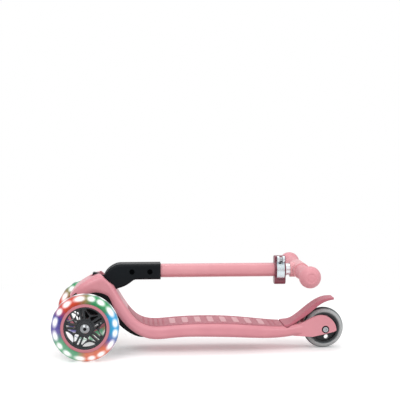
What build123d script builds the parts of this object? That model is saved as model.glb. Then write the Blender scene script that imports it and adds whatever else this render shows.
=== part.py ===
"""Child's folding three-wheel kick scooter, shown folded: two lit front wheels that lean to steer, one rear
wheel under a foot brake, and a column that folds down over the deck. It rides towards -X."""
import math
import os

from build123d import *

os.makedirs("parts", exist_ok=True)

# Overall sizes, millimetres
FRONT_WHEEL_R = 60.0
REAR_WHEEL_R = 38.0
WHEELBASE = 440.0
TRACK = 195.0
WHEEL_HALF_WIDTH = 12.0
HALF_BAR = 115.0

# The origin is on the floor under the middle of the length, so the front axle stands at this X
FRONT_X = -(WHEELBASE + REAR_WHEEL_R - FRONT_WHEEL_R) / 2

# Folding hinge, places measured back from the front axle and up from the floor
PIVOT_X = 49.7
PIVOT_Z = 134.4
KNUCKLE_R = 18.7
SADDLE_R = 19.4
UPRIGHT_TURN = 82.0
LOCK_ANGLE = 170.0
LOCK_R = 11.8
LOCK_TRACK_R = 8.6
LOCK_BAR_R = 2.2
LOCK_SLOT = 5.0
EAR_R = 16.2
TONGUE_R = 16.1
CAVITY_R = 16.8
PIN_R = 3.5
RUN = 0.05

# Column and handlebar
STEM_Z = 147.2
STEM_R = 12.7
STEM_BORE_R = 11.2
STEM_START = 72.0
STEM_END = 352.0
INNER_R = 11.1
INNER_BORE_R = 9.6
INNER_START = 165.0
BAR_X = 394.6
SHELL_END = 135.5
SHELL_HALF = 20.0
SHELL_HALF_HEIGHT = 14.5
SHELL_GAP = 0.4
SHELL_BOLTS_X = (82.8, 115.6)

# Clamp collar with its lever
COLLAR_X = (347.0, 368.0)
COLLAR_R = 17.0
CLAMP_BOLT_Z = 167.8
LEVER_HALF = 7.0
LEVER_PIVOT_Y = -17.0

# Steering kingpin, tilted forward from upright
KINGPIN_X = 14.0
KINGPIN_Z = 74.0
KINGPIN_TILT = 40.0
KINGPIN_R = 5.0

# Axles and ball bearings
AXLE_R = 4.0
BEARING_R = 11.0
BEARING_WIDTH = 7.0
HUB_HALF = 11.0
BEAM_HALF = 66.0

# Rear fork and brake
ARM_OUT = 28.5
ARM_IN = 20.8
SLOT_START = 396.0
BRAKE_PIVOT_X = 384.0
BRAKE_PIVOT_Z = 38.0
BRAKE_PIN_R = 2.5
BRAKE_CLEAR_R = REAR_WHEEL_R + 4.2
MAT_THICK = 3.0
MAT_PROUD = 1.0

# Moulded body, front to rear: outer point x, z, inner point x, z, half width, corner radius
BODY = (
    (-30.5, 106.5, -27, 97, 24, 4.5),
    (-22.8, 116.2, -15.5, 100.5, 32, 7),
    (-8.6, 128.6, 0, 105, 36, 10),
    (9.8, 139.4, 16, 108.2, 36, 12),
    (31, 143.6, 32, 104, 35, 12),
    (53.5, 116.5, 41, 94.7, 35, 11),
    (63.7, 99, 47.6, 81.8, 36, 10),
    (78.3, 76.8, 61, 63.2, 40, 9),
    (93.3, 60.5, 79, 45.2, 45, 8),
    (118, 51, 111, 28.8, 49, 8),
    (155, 52, 155, 29.2, 51, 8),
    (215, 54.3, 215, 30.6, 51.5, 8),
    (280, 52, 280, 28.2, 50, 8),
    (335, 47.3, 335, 25.4, 44, 8),
    (370, 46.5, 370, 26.5, 37, 8),
    (398, 49, 398, 27, ARM_OUT, 7),
)

# Tread mat seen from above, front to rear: x, half width
MAT = ((76, 21), (90, 33), (113, 40.5), (155, 43.5), (215, 44.5), (280, 43), (335, 37.5), (360, 32.5))

# Brake fender over the rear wheel: upper middle x, z, direction of its upper side, half width, thickness
FENDER = (
    (362, 48.4, 90, 32, 5.0),
    (374, 50.2, 98, 30, 5.5),
    (387, 58.0, 124, 20, 6.5),
    (400.5, 68.4, 128, 19.6, 8.0),
    (415.5, 80.2, 126, 19.4, 8.0),
    (431, 89.9, 113, 19.2, 6.5),
    (445, 94.6, 99, 18.8, 5.2),
    (457.5, 95.6, 91, 17, 4.0),
)

# Pockets under the deck: their edges along it, their middles across it, and the height they reach
POCKET_X = (130, 167, 204, 241, 278, 315)
POCKET_Y = (-24, 0, 24)
POCKET_TOP = 41.0
POCKET_CORNER = 3.0
RIB = 4.0
POCKET_WIDE = POCKET_Y[1] - POCKET_Y[0] - RIB

FRONT_AXLE_Z = FRONT_WHEEL_R
REAR_AXLE_Z = REAR_WHEEL_R


def side_plane(y=0.0):
    """Side view at the given Y, facing -Y: local x runs back from the front axle and local y is height."""
    return Plane(origin=(FRONT_X, y, 0), x_dir=(1, 0, 0), z_dir=(0, -1, 0))


def place(x, y, z):
    """A point of space from its distance behind the front axle, its Y and its height."""
    return Vector(FRONT_X + x, y, z)


def unit(degrees):
    """Unit vector in the side view, from +X towards +Z."""
    return math.cos(math.radians(degrees)), math.sin(math.radians(degrees))


def around_pivot(radius, degrees):
    """A point of the side view by its distance and direction from the hinge pivot."""
    dx, dz = unit(degrees)
    return PIVOT_X + radius * dx, PIVOT_Z + radius * dz


def spine_plane(x, z, degrees):
    """Plane square to the body's run, its local x across the scooter, its local y at the given direction."""
    dx, dz = unit(degrees)
    return Plane(origin=place(x, 0, z), x_dir=(0, 1, 0), z_dir=(dz, 0, -dx))


def axis_plane(x, z, degrees, y=0.0):
    """Plane facing along a direction of the side view, its local x across the scooter."""
    dx, dz = unit(degrees)
    return Plane(origin=place(x, y, z), x_dir=(0, 1, 0), z_dir=(dx, 0, dz))


def across(x, y, z):
    """Plane facing +Y at a point, for round pieces on a crosswise axis."""
    return Plane(origin=place(x, y, z), x_dir=(1, 0, 0), z_dir=(0, 1, 0))


def wheel_plane(x, y, z):
    """Half-section plane of a round piece on a crosswise axis: local x is radius, local y runs along +Y."""
    return Plane(origin=place(x, y, z), x_dir=(1, 0, 0), z_dir=(0, 0, 1))


def along(x, y=0.0, z=STEM_Z):
    """Plane facing back at a point of the column, its local x across the scooter and its local y upwards."""
    return Plane(origin=place(x, y, z), x_dir=(0, 1, 0), z_dir=(1, 0, 0))


def crosswise(x, z):
    """Axis along +Y through a point of the side view."""
    return Axis(tuple(place(x, 0, z)), (0, 1, 0))


def pivot_sector(radius, start, end):
    """Pie slice about the hinge pivot, drawn in the current sketch."""
    with BuildLine() as slice_line:
        first = around_pivot(radius, start)
        last = around_pivot(radius, end)
        Line((PIVOT_X, PIVOT_Z), first)
        ThreePointArc(first, around_pivot(radius, (start + end) / 2), last)
        Line(last, (PIVOT_X, PIVOT_Z))
    make_face(slice_line.edges())


def pivot_band(radius, width, start, end):
    """Curved slot about the hinge pivot, cut from the current sketch; its ends are square."""
    inner, outer = radius - width / 2, radius + width / 2
    middle = (start + end) / 2
    with BuildLine() as band_line:
        Line(around_pivot(inner, start), around_pivot(outer, start))
        ThreePointArc(around_pivot(outer, start), around_pivot(outer, middle), around_pivot(outer, end))
        Line(around_pivot(outer, end), around_pivot(inner, end))
        ThreePointArc(around_pivot(inner, end), around_pivot(inner, middle), around_pivot(inner, start))
    make_face(band_line.edges(), mode=Mode.SUBTRACT)


def save(piece, name):
    """Labels a finished piece and writes its file."""
    piece.part.label = name
    export_step(piece.part, f"parts/{name}.step")


def rod(x, y, z, radius, length):
    """Round bar along +Y from a point."""
    with BuildPart() as bar:
        with BuildSketch(across(x, y, z)):
            Circle(radius)
        extrude(amount=length)
    return bar


# Steel hinge bracket inside the neck: two ears, two legs and a base block
LEG_ANGLE = 222.0
EAR_Y = (7.2, 10.4)
LEG_R = (10.0, 27.0)
LEG_WIDE = 20.0
EAR_SPAN = (LOCK_ANGLE - 25, 262.0)
EYE_R = 9.0
BASE_R = 25.0
BASE_HIGH = 8.0
BASE_LONG = 22.0
BASE_HALF = 14.0
LOCK_TRAVEL = LOCK_R - LOCK_TRACK_R
LOCK_ROOM = 0.4
BRACKET_BOLTS = ((-9, 0), (9, 0))
BRACKET_BOLT_R = 2.5
BOLT_SEAT_R = 34.0
BOLT_END_R = 23.0
bolt_seat = axis_plane(*around_pivot(BOLT_SEAT_R, LEG_ANGLE), LEG_ANGLE)
bolt_way_in = axis_plane(*around_pivot(BOLT_SEAT_R, LEG_ANGLE), LEG_ANGLE + 180)
with BuildPart() as hinge_bracket:
    for ear_side in (-1, 1):
        with BuildSketch(side_plane(EAR_Y[1] if ear_side > 0 else -EAR_Y[0])):
            pivot_sector(EAR_R, *EAR_SPAN)
            with Locations((PIVOT_X, PIVOT_Z)):
                Circle(EYE_R)
            with Locations(Location((*around_pivot(sum(LEG_R) / 2, LEG_ANGLE), 0), (0, 0, LEG_ANGLE))):
                Rectangle(LEG_R[1] - LEG_R[0], LEG_WIDE)
            with Locations((PIVOT_X, PIVOT_Z)):
                Circle(PIN_R, mode=Mode.SUBTRACT)
            middle = around_pivot((LOCK_R + LOCK_TRACK_R) / 2, LOCK_ANGLE)
            with Locations(Location((*middle, 0), (0, 0, LOCK_ANGLE))):
                SlotCenterToCenter(LOCK_TRAVEL + LOCK_ROOM, LOCK_SLOT, mode=Mode.SUBTRACT)
        extrude(amount=EAR_Y[1] - EAR_Y[0])
    with BuildSketch(side_plane(BASE_HALF)):
        with Locations(Location((*around_pivot(BASE_R, LEG_ANGLE), 0), (0, 0, LEG_ANGLE))):
            Rectangle(BASE_HIGH, BASE_LONG)
    extrude(amount=2 * BASE_HALF)
    with BuildSketch(bolt_way_in):
        with Locations(*BRACKET_BOLTS):
            Circle(BRACKET_BOLT_R)
    extrude(amount=BOLT_SEAT_R - BOLT_END_R, mode=Mode.SUBTRACT)
save(hinge_bracket, "hinge_bracket")

# Two bolts that hold the bracket from the arch below
BRACKET_HEAD_R = 4.5
BRACKET_HEAD = 3.0
SMALL_HEX = 2.2
with BuildPart() as bracket_bolts:
    with BuildSketch(bolt_way_in):
        with Locations(*BRACKET_BOLTS):
            Circle(BRACKET_BOLT_R)
    extrude(amount=BOLT_SEAT_R - BOLT_END_R)
    with BuildSketch(bolt_seat):
        with Locations(*BRACKET_BOLTS):
            Circle(BRACKET_HEAD_R)
            RegularPolygon(SMALL_HEX, 6, mode=Mode.SUBTRACT)
    extrude(amount=BRACKET_HEAD)
save(bracket_bolts, "bracket_bolts")

# Hinge pin
PIN_HALF = 12.2
hinge_pin = rod(PIVOT_X, -PIN_HALF, PIVOT_Z, PIN_R, 2 * PIN_HALF)
save(hinge_pin, "hinge_pin")

# Steering bolt, its washer and the rubber bush that centres the steering
KINGPIN_SEAT = -20.0
KINGPIN_END = 40.0
KINGPIN_HEAD_R = 8.0
KINGPIN_HEAD = 6.0
KINGPIN_HEX = 3.5
KINGPIN_WASHER_R = 11.0
KINGPIN_WASHER = 1.6
BEAM_BOSS_END = 18.0
BUSH_R = 13.0
BUSH_FROM = BEAM_BOSS_END + 0.3
BUSH_TO = 26.7
kingpin = axis_plane(KINGPIN_X, KINGPIN_Z, 90 + KINGPIN_TILT)
with BuildPart() as kingpin_bolt:
    with BuildSketch(kingpin.offset(KINGPIN_SEAT)):
        Circle(KINGPIN_R)
    extrude(amount=KINGPIN_END - KINGPIN_SEAT)
    with BuildSketch(kingpin.offset(KINGPIN_SEAT - KINGPIN_HEAD)):
        Circle(KINGPIN_HEAD_R)
    extrude(amount=KINGPIN_HEAD)
    with BuildSketch(kingpin.offset(KINGPIN_SEAT - KINGPIN_HEAD)):
        RegularPolygon(KINGPIN_HEX, 6)
    extrude(amount=KINGPIN_HEX, mode=Mode.SUBTRACT)
save(kingpin_bolt, "kingpin_bolt")

with BuildPart() as kingpin_washer:
    with BuildSketch(kingpin.offset(KINGPIN_SEAT)):
        Circle(KINGPIN_WASHER_R)
        Circle(KINGPIN_R, mode=Mode.SUBTRACT)
    extrude(amount=KINGPIN_WASHER)
save(kingpin_washer, "kingpin_washer")

with BuildPart() as steering_bush:
    with BuildSketch(kingpin.offset(BUSH_FROM)):
        Circle(BUSH_R)
        Circle(KINGPIN_R + 0.2, mode=Mode.SUBTRACT)
    extrude(amount=BUSH_TO - BUSH_FROM)
save(steering_bush, "steering_bush")

# Outer form of the moulded body, before anything is cut out of it
with BuildPart() as body_form:
    for out_x, out_z, in_x, in_z, half, corner in BODY:
        rise = math.degrees(math.atan2(out_z - in_z, out_x - in_x))
        with BuildSketch(spine_plane((out_x + in_x) / 2, (out_z + in_z) / 2, rise)):
            RectangleRounded(2 * half, math.hypot(out_x - in_x, out_z - in_z), corner)
    loft()

# Tread mat: a layer that follows the top of the body, a little proud of it
MAT_CORNER = 9.0
DECK_HIGH = 100.0
with BuildPart() as tread_mat:
    add(body_form.part.moved(Location((0, 0, MAT_PROUD))))
    with BuildSketch(Plane(origin=(FRONT_X, 0, 0))) as mat_outline:
        with BuildLine():
            near = Spline([(x, -half) for x, half in MAT])
            far = Spline([(x, half) for x, half in reversed(MAT)])
            Line(near @ 1, far @ 0)
            Line(far @ 1, near @ 0)
        make_face()
        fillet(mat_outline.vertices().group_by(Axis.X)[0], MAT_CORNER)
    extrude(amount=DECK_HIGH, mode=Mode.INTERSECT)
    add(body_form.part.moved(Location((0, 0, MAT_PROUD - MAT_THICK))), mode=Mode.SUBTRACT)

# Brake fender, hollowed over the wheel, with two lugs for its pin
LUG_Y = (11.0, 16.0)
LUG_R = 5.0
LUG_TOP = 14.0
FENDER_CORNER = 1.8
FENDER_HOLLOW_HALF = 14.4
with BuildPart() as brake_fender:
    for fender_x, fender_z, fender_up, fender_half, fender_thick in FENDER:
        with BuildSketch(spine_plane(fender_x, fender_z, fender_up)):
            with Locations((0, -fender_thick / 2)):
                RectangleRounded(2 * fender_half, fender_thick, FENDER_CORNER)
    loft()
    with BuildSketch(across(WHEELBASE, -FENDER_HOLLOW_HALF, REAR_AXLE_Z)):
        Circle(BRAKE_CLEAR_R)
    extrude(amount=2 * FENDER_HOLLOW_HALF, mode=Mode.SUBTRACT)
    for lug_side in (-1, 1):
        with BuildSketch(side_plane(LUG_Y[1] if lug_side > 0 else -LUG_Y[0])):
            with Locations((BRAKE_PIVOT_X, BRAKE_PIVOT_Z)):
                Circle(LUG_R)
            with Locations((BRAKE_PIVOT_X, BRAKE_PIVOT_Z + LUG_TOP / 2)):
                Rectangle(2 * LUG_R, LUG_TOP)
        extrude(amount=LUG_Y[1] - LUG_Y[0])
    with BuildSketch(across(BRAKE_PIVOT_X, -LUG_Y[1], BRAKE_PIVOT_Z)):
        Circle(BRAKE_PIN_R + RUN)
    extrude(amount=2 * LUG_Y[1], mode=Mode.SUBTRACT)

# Steel wear plate let into the underside of the fender, over the tyre
PLATE_HALF = 9.0
PLATE_THICK = 1.2
PLATE_SPAN = (122.0, 140.0)
with BuildPart() as brake_wear_plate:
    with BuildSketch(across(WHEELBASE, -PLATE_HALF, REAR_AXLE_Z)):
        Circle(BRAKE_CLEAR_R + PLATE_THICK)
        Circle(BRAKE_CLEAR_R, mode=Mode.SUBTRACT)
    extrude(amount=2 * PLATE_HALF)
    with BuildSketch(side_plane(PLATE_HALF)):
        with BuildLine():
            axle_point = Vector(WHEELBASE, REAR_AXLE_Z)
            plate_ends = [axle_point + 2 * REAR_WHEEL_R * Vector(*unit(end)) for end in PLATE_SPAN]
            Polyline(axle_point, *plate_ends, close=True)
        make_face()
    extrude(amount=2 * PLATE_HALF, mode=Mode.INTERSECT)
save(brake_wear_plate, "brake_wear_plate")

with BuildPart() as fender_done:
    add(brake_fender.part)
    add(brake_wear_plate.part, mode=Mode.SUBTRACT)
save(fender_done, "brake_fender")

# Room that the body leaves for the fender as it tips
ROOM_FRONT = 0.6
ROOM_SIDE = 1.4
ROOM_UNDER = 1.3
ROOM_OVER = 9.3
with BuildPart() as fender_room:
    for station, (fender_x, fender_z, fender_up, fender_half, fender_thick) in enumerate(FENDER):
        with BuildSketch(spine_plane(fender_x - (ROOM_FRONT if station == 0 else 0), fender_z, fender_up)):
            with Locations((0, (ROOM_OVER - ROOM_UNDER - fender_thick) / 2)):
                Rectangle(2 * (fender_half + ROOM_SIDE), fender_thick + ROOM_UNDER + ROOM_OVER)
    loft()

# Brake pin and its return spring
BRAKE_PIN_HALF = 24.0
brake_pin = rod(BRAKE_PIVOT_X, -BRAKE_PIN_HALF, BRAKE_PIVOT_Z, BRAKE_PIN_R, 2 * BRAKE_PIN_HALF)
save(brake_pin, "brake_pin")

SPRING_PITCH = 2.2
SPRING_LONG = 7 * SPRING_PITCH
SPRING_R = 3.4
WIRE_R = 0.7
with BuildPart() as brake_spring:
    with BuildLine() as spring_run:
        spring_start = place(BRAKE_PIVOT_X, -SPRING_LONG / 2, BRAKE_PIVOT_Z)
        Helix(SPRING_PITCH, SPRING_LONG, SPRING_R, center=spring_start, direction=(0, 1, 0))
    with BuildSketch(Plane(origin=spring_run.line @ 0, z_dir=spring_run.line % 0)):
        Circle(WIRE_R)
    sweep()
save(brake_spring, "brake_spring")

# Side view of the folding knuckle: a round end on the pivot and a swelling limb up to the column's foot
KNUCKLE_TOP_FROM = 150.0
KNUCKLE_LOW_FROM = -80.0
KNUCKLE_TOP = ((47.5, 157.3), (63.0, STEM_Z + SHELL_HALF_HEIGHT))
KNUCKLE_LOW = ((70.5, 121.5), (86.5, STEM_Z - SHELL_HALF_HEIGHT))
KNUCKLE_LOW_RISE = 43.0
KNUCKLE_SADDLE = (KNUCKLE_TOP_FROM, 215.0, KNUCKLE_LOW_FROM + 360)
BEND_R = 12.0
with BuildSketch(side_plane()) as knuckle_outline:
    with Locations((PIVOT_X, PIVOT_Z)):
        Circle(KNUCKLE_R)
    with BuildLine():
        top_line = Spline(around_pivot(KNUCKLE_R, KNUCKLE_TOP_FROM), *KNUCKLE_TOP,
                          tangents=(unit(KNUCKLE_TOP_FROM - 90), (1, 0)))
        low_line = Spline(around_pivot(KNUCKLE_R, KNUCKLE_LOW_FROM), *KNUCKLE_LOW,
                          tangents=(unit(KNUCKLE_LOW_FROM + 90), unit(KNUCKLE_LOW_RISE)))
        Polyline(KNUCKLE_TOP[1], (SHELL_END, KNUCKLE_TOP[1][1]), (SHELL_END, KNUCKLE_LOW[1][1]),
                 KNUCKLE_LOW[1])
        Line(low_line @ 0, top_line @ 0)
    make_face()
    fillet(knuckle_outline.vertices().sort_by_distance(KNUCKLE_LOW[1])[0], BEND_R)


def beyond(point, spare):
    """A point of the side view, moved straight away from the hinge pivot."""
    outward = Vector(*point) - Vector(PIVOT_X, PIVOT_Z)
    return Vector(*point) + spare * outward.normalized()


def knuckle_room(swing, spare):
    """Room round the knuckle, swung up from its folded place, with some spare all round."""
    half = SHELL_HALF + spare
    saddle = [around_pivot(KNUCKLE_R + spare, turn) for turn in KNUCKLE_SADDLE]
    top_end = Vector(KNUCKLE_TOP[1][0], KNUCKLE_TOP[1][1] + spare)
    low_end = Vector(KNUCKLE_LOW[1][0], KNUCKLE_LOW[1][1] - spare)
    with BuildPart() as room:
        with BuildSketch(side_plane(half)):
            with BuildLine():
                ThreePointArc(*saddle)
                ThreePointArc(saddle[2], beyond(KNUCKLE_LOW[0], spare), low_end)
                Polyline(low_end, (SHELL_END, low_end.Y), (SHELL_END, top_end.Y), top_end)
                ThreePointArc(top_end, beyond(KNUCKLE_TOP[0], spare), saddle[0])
            make_face()
        extrude(amount=2 * half)
    return room.part.rotate(crosswise(PIVOT_X, PIVOT_Z), -swing)


# Upper edge of the two cheeks beside the knuckle, front to rear
CHEEK_EDGE = ((23.5, 147.2), (29.7, 140.8), (36.2, 134.1), (42.6, 128.6), (47.8, 124.8), (53, 121.5),
              (58, 119.3))
CHEEK_CLEAR = (75.0, 165.0)
BODY_HALF = 60.0
KNUCKLE_SPARE = ((0, 0.8), (UPRIGHT_TURN, 1.0))

# Moulded body
BUTTON_R = (27.0, 40.0)
BUTTON_HALF = 9.0
CHANNEL_R = (BUTTON_R[0] - 0.5, BUTTON_R[1] + LOCK_TRAVEL + 1)
CHANNEL_HALF = BUTTON_HALF + 0.4
CHANNEL_FLOOR = -5.0
CHANNEL_TOP = 20.0
PUSH_ROD_R = 2.4
HOOD_BOSS_R = 14.0
HOOD_BOSS_FROM = BUSH_TO + 0.3
HOOD_BOSS_LONG = 20.0
LUG_POCKET_HALF = LUG_Y[1] + 1
LUG_POCKET_LONG = 16.0
LUG_POCKET_Z = (32.0, 56.0)
RECESS_R = 7.0
AXLE_SEAT_Y = ARM_OUT - 2.5
BEHIND = 480.0
with BuildPart() as body:
    add(body_form.part)
    # Rear fork arms, one teardrop with the wheel slot cut out of it
    with BuildSketch(side_plane(ARM_OUT)):
        with BuildLine():
            Spline((380, 47), (403, 53.5), (431, 64.5), tangents=((1, 0), (1, 0.12)))
            ThreePointArc((431, 64.5), (453.5, 54.5), (460.5, 36))
            Line((460.5, 36), (456, 33.5))
            Line((456, 33.5), (416, 24.5))
            Line((416, 24.5), (380, 27))
            Line((380, 27), (380, 47))
        make_face()
    extrude(amount=2 * ARM_OUT)
    with BuildSketch(side_plane(ARM_IN)):
        with Locations(((SLOT_START + BEHIND) / 2, DECK_HIGH / 2)):
            Rectangle(BEHIND - SLOT_START, DECK_HIGH)
    extrude(amount=2 * ARM_IN, mode=Mode.SUBTRACT)
    # Boss inside the hood for the steering bolt
    with BuildSketch(kingpin.offset(HOOD_BOSS_FROM)):
        Circle(HOOD_BOSS_R)
    extrude(amount=HOOD_BOSS_LONG)
    # Slot between two cheeks for the folding knuckle, open above and wide enough for the column standing up
    for swing, spare in KNUCKLE_SPARE:
        add(knuckle_room(swing, spare), mode=Mode.SUBTRACT)
    with BuildSketch(side_plane(BODY_HALF)):
        with BuildLine():
            cheek_line = Spline(*CHEEK_EDGE)
            Polyline(cheek_line @ 1, (CHEEK_CLEAR[0], CHEEK_EDGE[-1][1]), CHEEK_CLEAR,
                     (CHEEK_EDGE[0][0], CHEEK_CLEAR[1]), cheek_line @ 0)
        make_face()
    extrude(amount=2 * BODY_HALF, mode=Mode.SUBTRACT)
    # Channel for the lock button, and the hole for its push rod
    with BuildSketch(side_plane(CHANNEL_HALF)):
        channel_mid = around_pivot(sum(CHANNEL_R) / 2, LOCK_ANGLE)
        with Locations(Location((*channel_mid, 0), (0, 0, LOCK_ANGLE - 180))):
            with Locations((0, (CHANNEL_FLOOR + CHANNEL_TOP) / 2)):
                Rectangle(CHANNEL_R[1] - CHANNEL_R[0], CHANNEL_TOP - CHANNEL_FLOOR)
    extrude(amount=2 * CHANNEL_HALF, mode=Mode.SUBTRACT)
    with BuildSketch(axis_plane(*around_pivot(SADDLE_R - 1, LOCK_ANGLE), LOCK_ANGLE)):
        Circle(PUSH_ROD_R + 0.6)
    extrude(amount=CHANNEL_R[0] - SADDLE_R + 2, mode=Mode.SUBTRACT)
    # Pocket for the brake lugs and spring, and the brake pin's hole
    with BuildSketch(side_plane(LUG_POCKET_HALF)):
        with Locations((BRAKE_PIVOT_X, sum(LUG_POCKET_Z) / 2)):
            Rectangle(LUG_POCKET_LONG, LUG_POCKET_Z[1] - LUG_POCKET_Z[0])
    extrude(amount=2 * LUG_POCKET_HALF, mode=Mode.SUBTRACT)
    add(fender_room.part, mode=Mode.SUBTRACT)
    add(tread_mat.part, mode=Mode.SUBTRACT)
    for inner_piece in (hinge_bracket, bracket_bolts, kingpin_bolt, brake_pin):
        add(inner_piece.part, mode=Mode.SUBTRACT)
    with BuildSketch(bolt_seat):
        with Locations(*BRACKET_BOLTS):
            Circle(BRACKET_HEAD_R)
    extrude(amount=2 * BRACKET_HEAD + 2, mode=Mode.SUBTRACT)
    # Rear axle holes with a round recess on each arm
    with BuildSketch(across(WHEELBASE, -ARM_OUT, REAR_AXLE_Z)):
        Circle(AXLE_R)
    extrude(amount=2 * ARM_OUT, mode=Mode.SUBTRACT)
    for recess_y in (-ARM_OUT, AXLE_SEAT_Y):
        with BuildSketch(across(WHEELBASE, recess_y, REAR_AXLE_Z)):
            Circle(RECESS_R)
        extrude(amount=ARM_OUT - AXLE_SEAT_Y, mode=Mode.SUBTRACT)
    # Ribbed underside
    with BuildSketch(Plane(origin=(FRONT_X, 0, 0))):
        for pocket_from, pocket_to in zip(POCKET_X, POCKET_X[1:]):
            with Locations([((pocket_from + pocket_to) / 2, pocket_y) for pocket_y in POCKET_Y]):
                RectangleRounded(pocket_to - pocket_from - RIB, POCKET_WIDE, POCKET_CORNER)
    extrude(amount=POCKET_TOP, mode=Mode.SUBTRACT)
save(tread_mat, "tread_mat")

# Black liner of the wheel arch, running down under the neck
LINER_HALF = 33.0
with BuildPart() as arch_liner:
    with BuildSketch(side_plane(LINER_HALF)):
        with BuildLine():
            lower = Spline((-25, 96), (0, 101), (20, 104.3), (32, 99.8), (39.2, 91.8), (44, 80.5), (50, 68),
                           (58, 54.5), (72, 41.8), (92, 31.2), (106, 29.6))
            Line(lower @ 1, (106, 36))
            upper = Spline((106, 36), (85, 48), (60, 78), (44, 104), (20, 117), (-25, 107))
            Line(upper @ 1, lower @ 0)
        make_face()
    extrude(amount=2 * LINER_HALF)
    add(body.part, mode=Mode.SUBTRACT)
    for inner_piece in (hinge_bracket, bracket_bolts, kingpin_bolt):
        add(inner_piece.part, mode=Mode.SUBTRACT)
save(arch_liner, "arch_liner")

save(body, "deck_body")

# Lock button with its push rod, and the lock bar it carries, here slid in to free the fold
BUTTON_HIGH = 9.0
EYE_WALL = 1.5
ROD_FROM = LOCK_TRACK_R + LOCK_BAR_R
lock_place = around_pivot(LOCK_TRACK_R, LOCK_ANGLE)
lock_bar = rod(lock_place[0], -EAR_Y[1], lock_place[1], LOCK_BAR_R, 2 * EAR_Y[1])
save(lock_bar, "lock_bar")

with BuildPart() as lock_button:
    with BuildSketch(side_plane(BUTTON_HALF)):
        button_mid = around_pivot(sum(BUTTON_R) / 2, LOCK_ANGLE)
        with Locations(Location((*button_mid, 0), (0, 0, LOCK_ANGLE - 180))):
            RectangleRounded(BUTTON_R[1] - BUTTON_R[0], BUTTON_HIGH, 3)
    extrude(amount=2 * BUTTON_HALF)
    fillet(lock_button.edges().group_by(Axis.Y)[0] + lock_button.edges().group_by(Axis.Y)[-1], 2)
    with BuildSketch(axis_plane(*around_pivot(ROD_FROM, LOCK_ANGLE), LOCK_ANGLE)):
        Circle(PUSH_ROD_R)
    extrude(amount=BUTTON_R[0] + 1 - ROD_FROM)
    with BuildSketch(side_plane(PUSH_ROD_R)):
        with Locations(lock_place):
            Circle(LOCK_BAR_R + EYE_WALL)
    extrude(amount=2 * PUSH_ROD_R)
    add(lock_bar.part, mode=Mode.SUBTRACT)
save(lock_button, "lock_button")

# Hinge tongue: two steel plates in the column's foot, with the lock's curved slot
TONGUE_Y = (3.6, 6.6)
TONGUE_END = 128.0
TUBE_ENTRY = 74.0
LINK_WIDE = 12.0
TONGUE_WIDE = 14.0
TONGUE_BLOCK = 10.0
SHELL_BOLT_R = 2.5
link_middle = ((PIVOT_X + TUBE_ENTRY + 2) / 2, (PIVOT_Z + STEM_Z) / 2)
link_long = math.hypot(TUBE_ENTRY + 2 - PIVOT_X, STEM_Z - PIVOT_Z)
link_turn = math.degrees(math.atan2(STEM_Z - PIVOT_Z, TUBE_ENTRY + 2 - PIVOT_X))
with BuildPart() as hinge_tongue:
    for plate_side in (-1, 1):
        with BuildSketch(side_plane(TONGUE_Y[1] if plate_side > 0 else -TONGUE_Y[0])):
            pivot_sector(TONGUE_R, LOCK_ANGLE - UPRIGHT_TURN - 20, LOCK_ANGLE + 20)
            with Locations((PIVOT_X, PIVOT_Z)):
                Circle(EYE_R)
            with Locations(Location((*link_middle, 0), (0, 0, link_turn))):
                Rectangle(link_long, LINK_WIDE)
            with Locations(((TUBE_ENTRY + TONGUE_END) / 2, STEM_Z)):
                Rectangle(TONGUE_END - TUBE_ENTRY, TONGUE_WIDE)
            with Locations((PIVOT_X, PIVOT_Z)):
                Circle(PIN_R + RUN, mode=Mode.SUBTRACT)
            pivot_band(LOCK_TRACK_R, LOCK_SLOT, LOCK_ANGLE - UPRIGHT_TURN, LOCK_ANGLE)
            for pocket_angle in (LOCK_ANGLE - UPRIGHT_TURN, LOCK_ANGLE):
                middle = around_pivot((LOCK_R + LOCK_TRACK_R) / 2, pocket_angle)
                with Locations(Location((*middle, 0), (0, 0, pocket_angle))):
                    SlotCenterToCenter(LOCK_TRAVEL + LOCK_ROOM, LOCK_SLOT, mode=Mode.SUBTRACT)
        extrude(amount=TONGUE_Y[1] - TONGUE_Y[0])
    with BuildSketch(side_plane(TONGUE_Y[1])):
        with Locations((TONGUE_END - TONGUE_BLOCK / 2, STEM_Z)):
            Rectangle(TONGUE_BLOCK, TONGUE_WIDE)
    extrude(amount=2 * TONGUE_Y[1])
    for bolt_x in SHELL_BOLTS_X:
        with BuildSketch(across(bolt_x, -SHELL_HALF, STEM_Z)):
            Circle(SHELL_BOLT_R)
        extrude(amount=2 * SHELL_HALF, mode=Mode.SUBTRACT)
save(hinge_tongue, "hinge_tongue")

# Column tube
with BuildPart() as stem_tube:
    with BuildSketch(along(STEM_START)):
        Circle(STEM_R)
        Circle(STEM_BORE_R, mode=Mode.SUBTRACT)
    extrude(amount=STEM_END - STEM_START)
    for bolt_x in SHELL_BOLTS_X:
        with BuildSketch(across(bolt_x, -SHELL_HALF, STEM_Z)):
            Circle(SHELL_BOLT_R)
        extrude(amount=2 * SHELL_HALF, mode=Mode.SUBTRACT)
save(stem_tube, "stem_tube")

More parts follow.
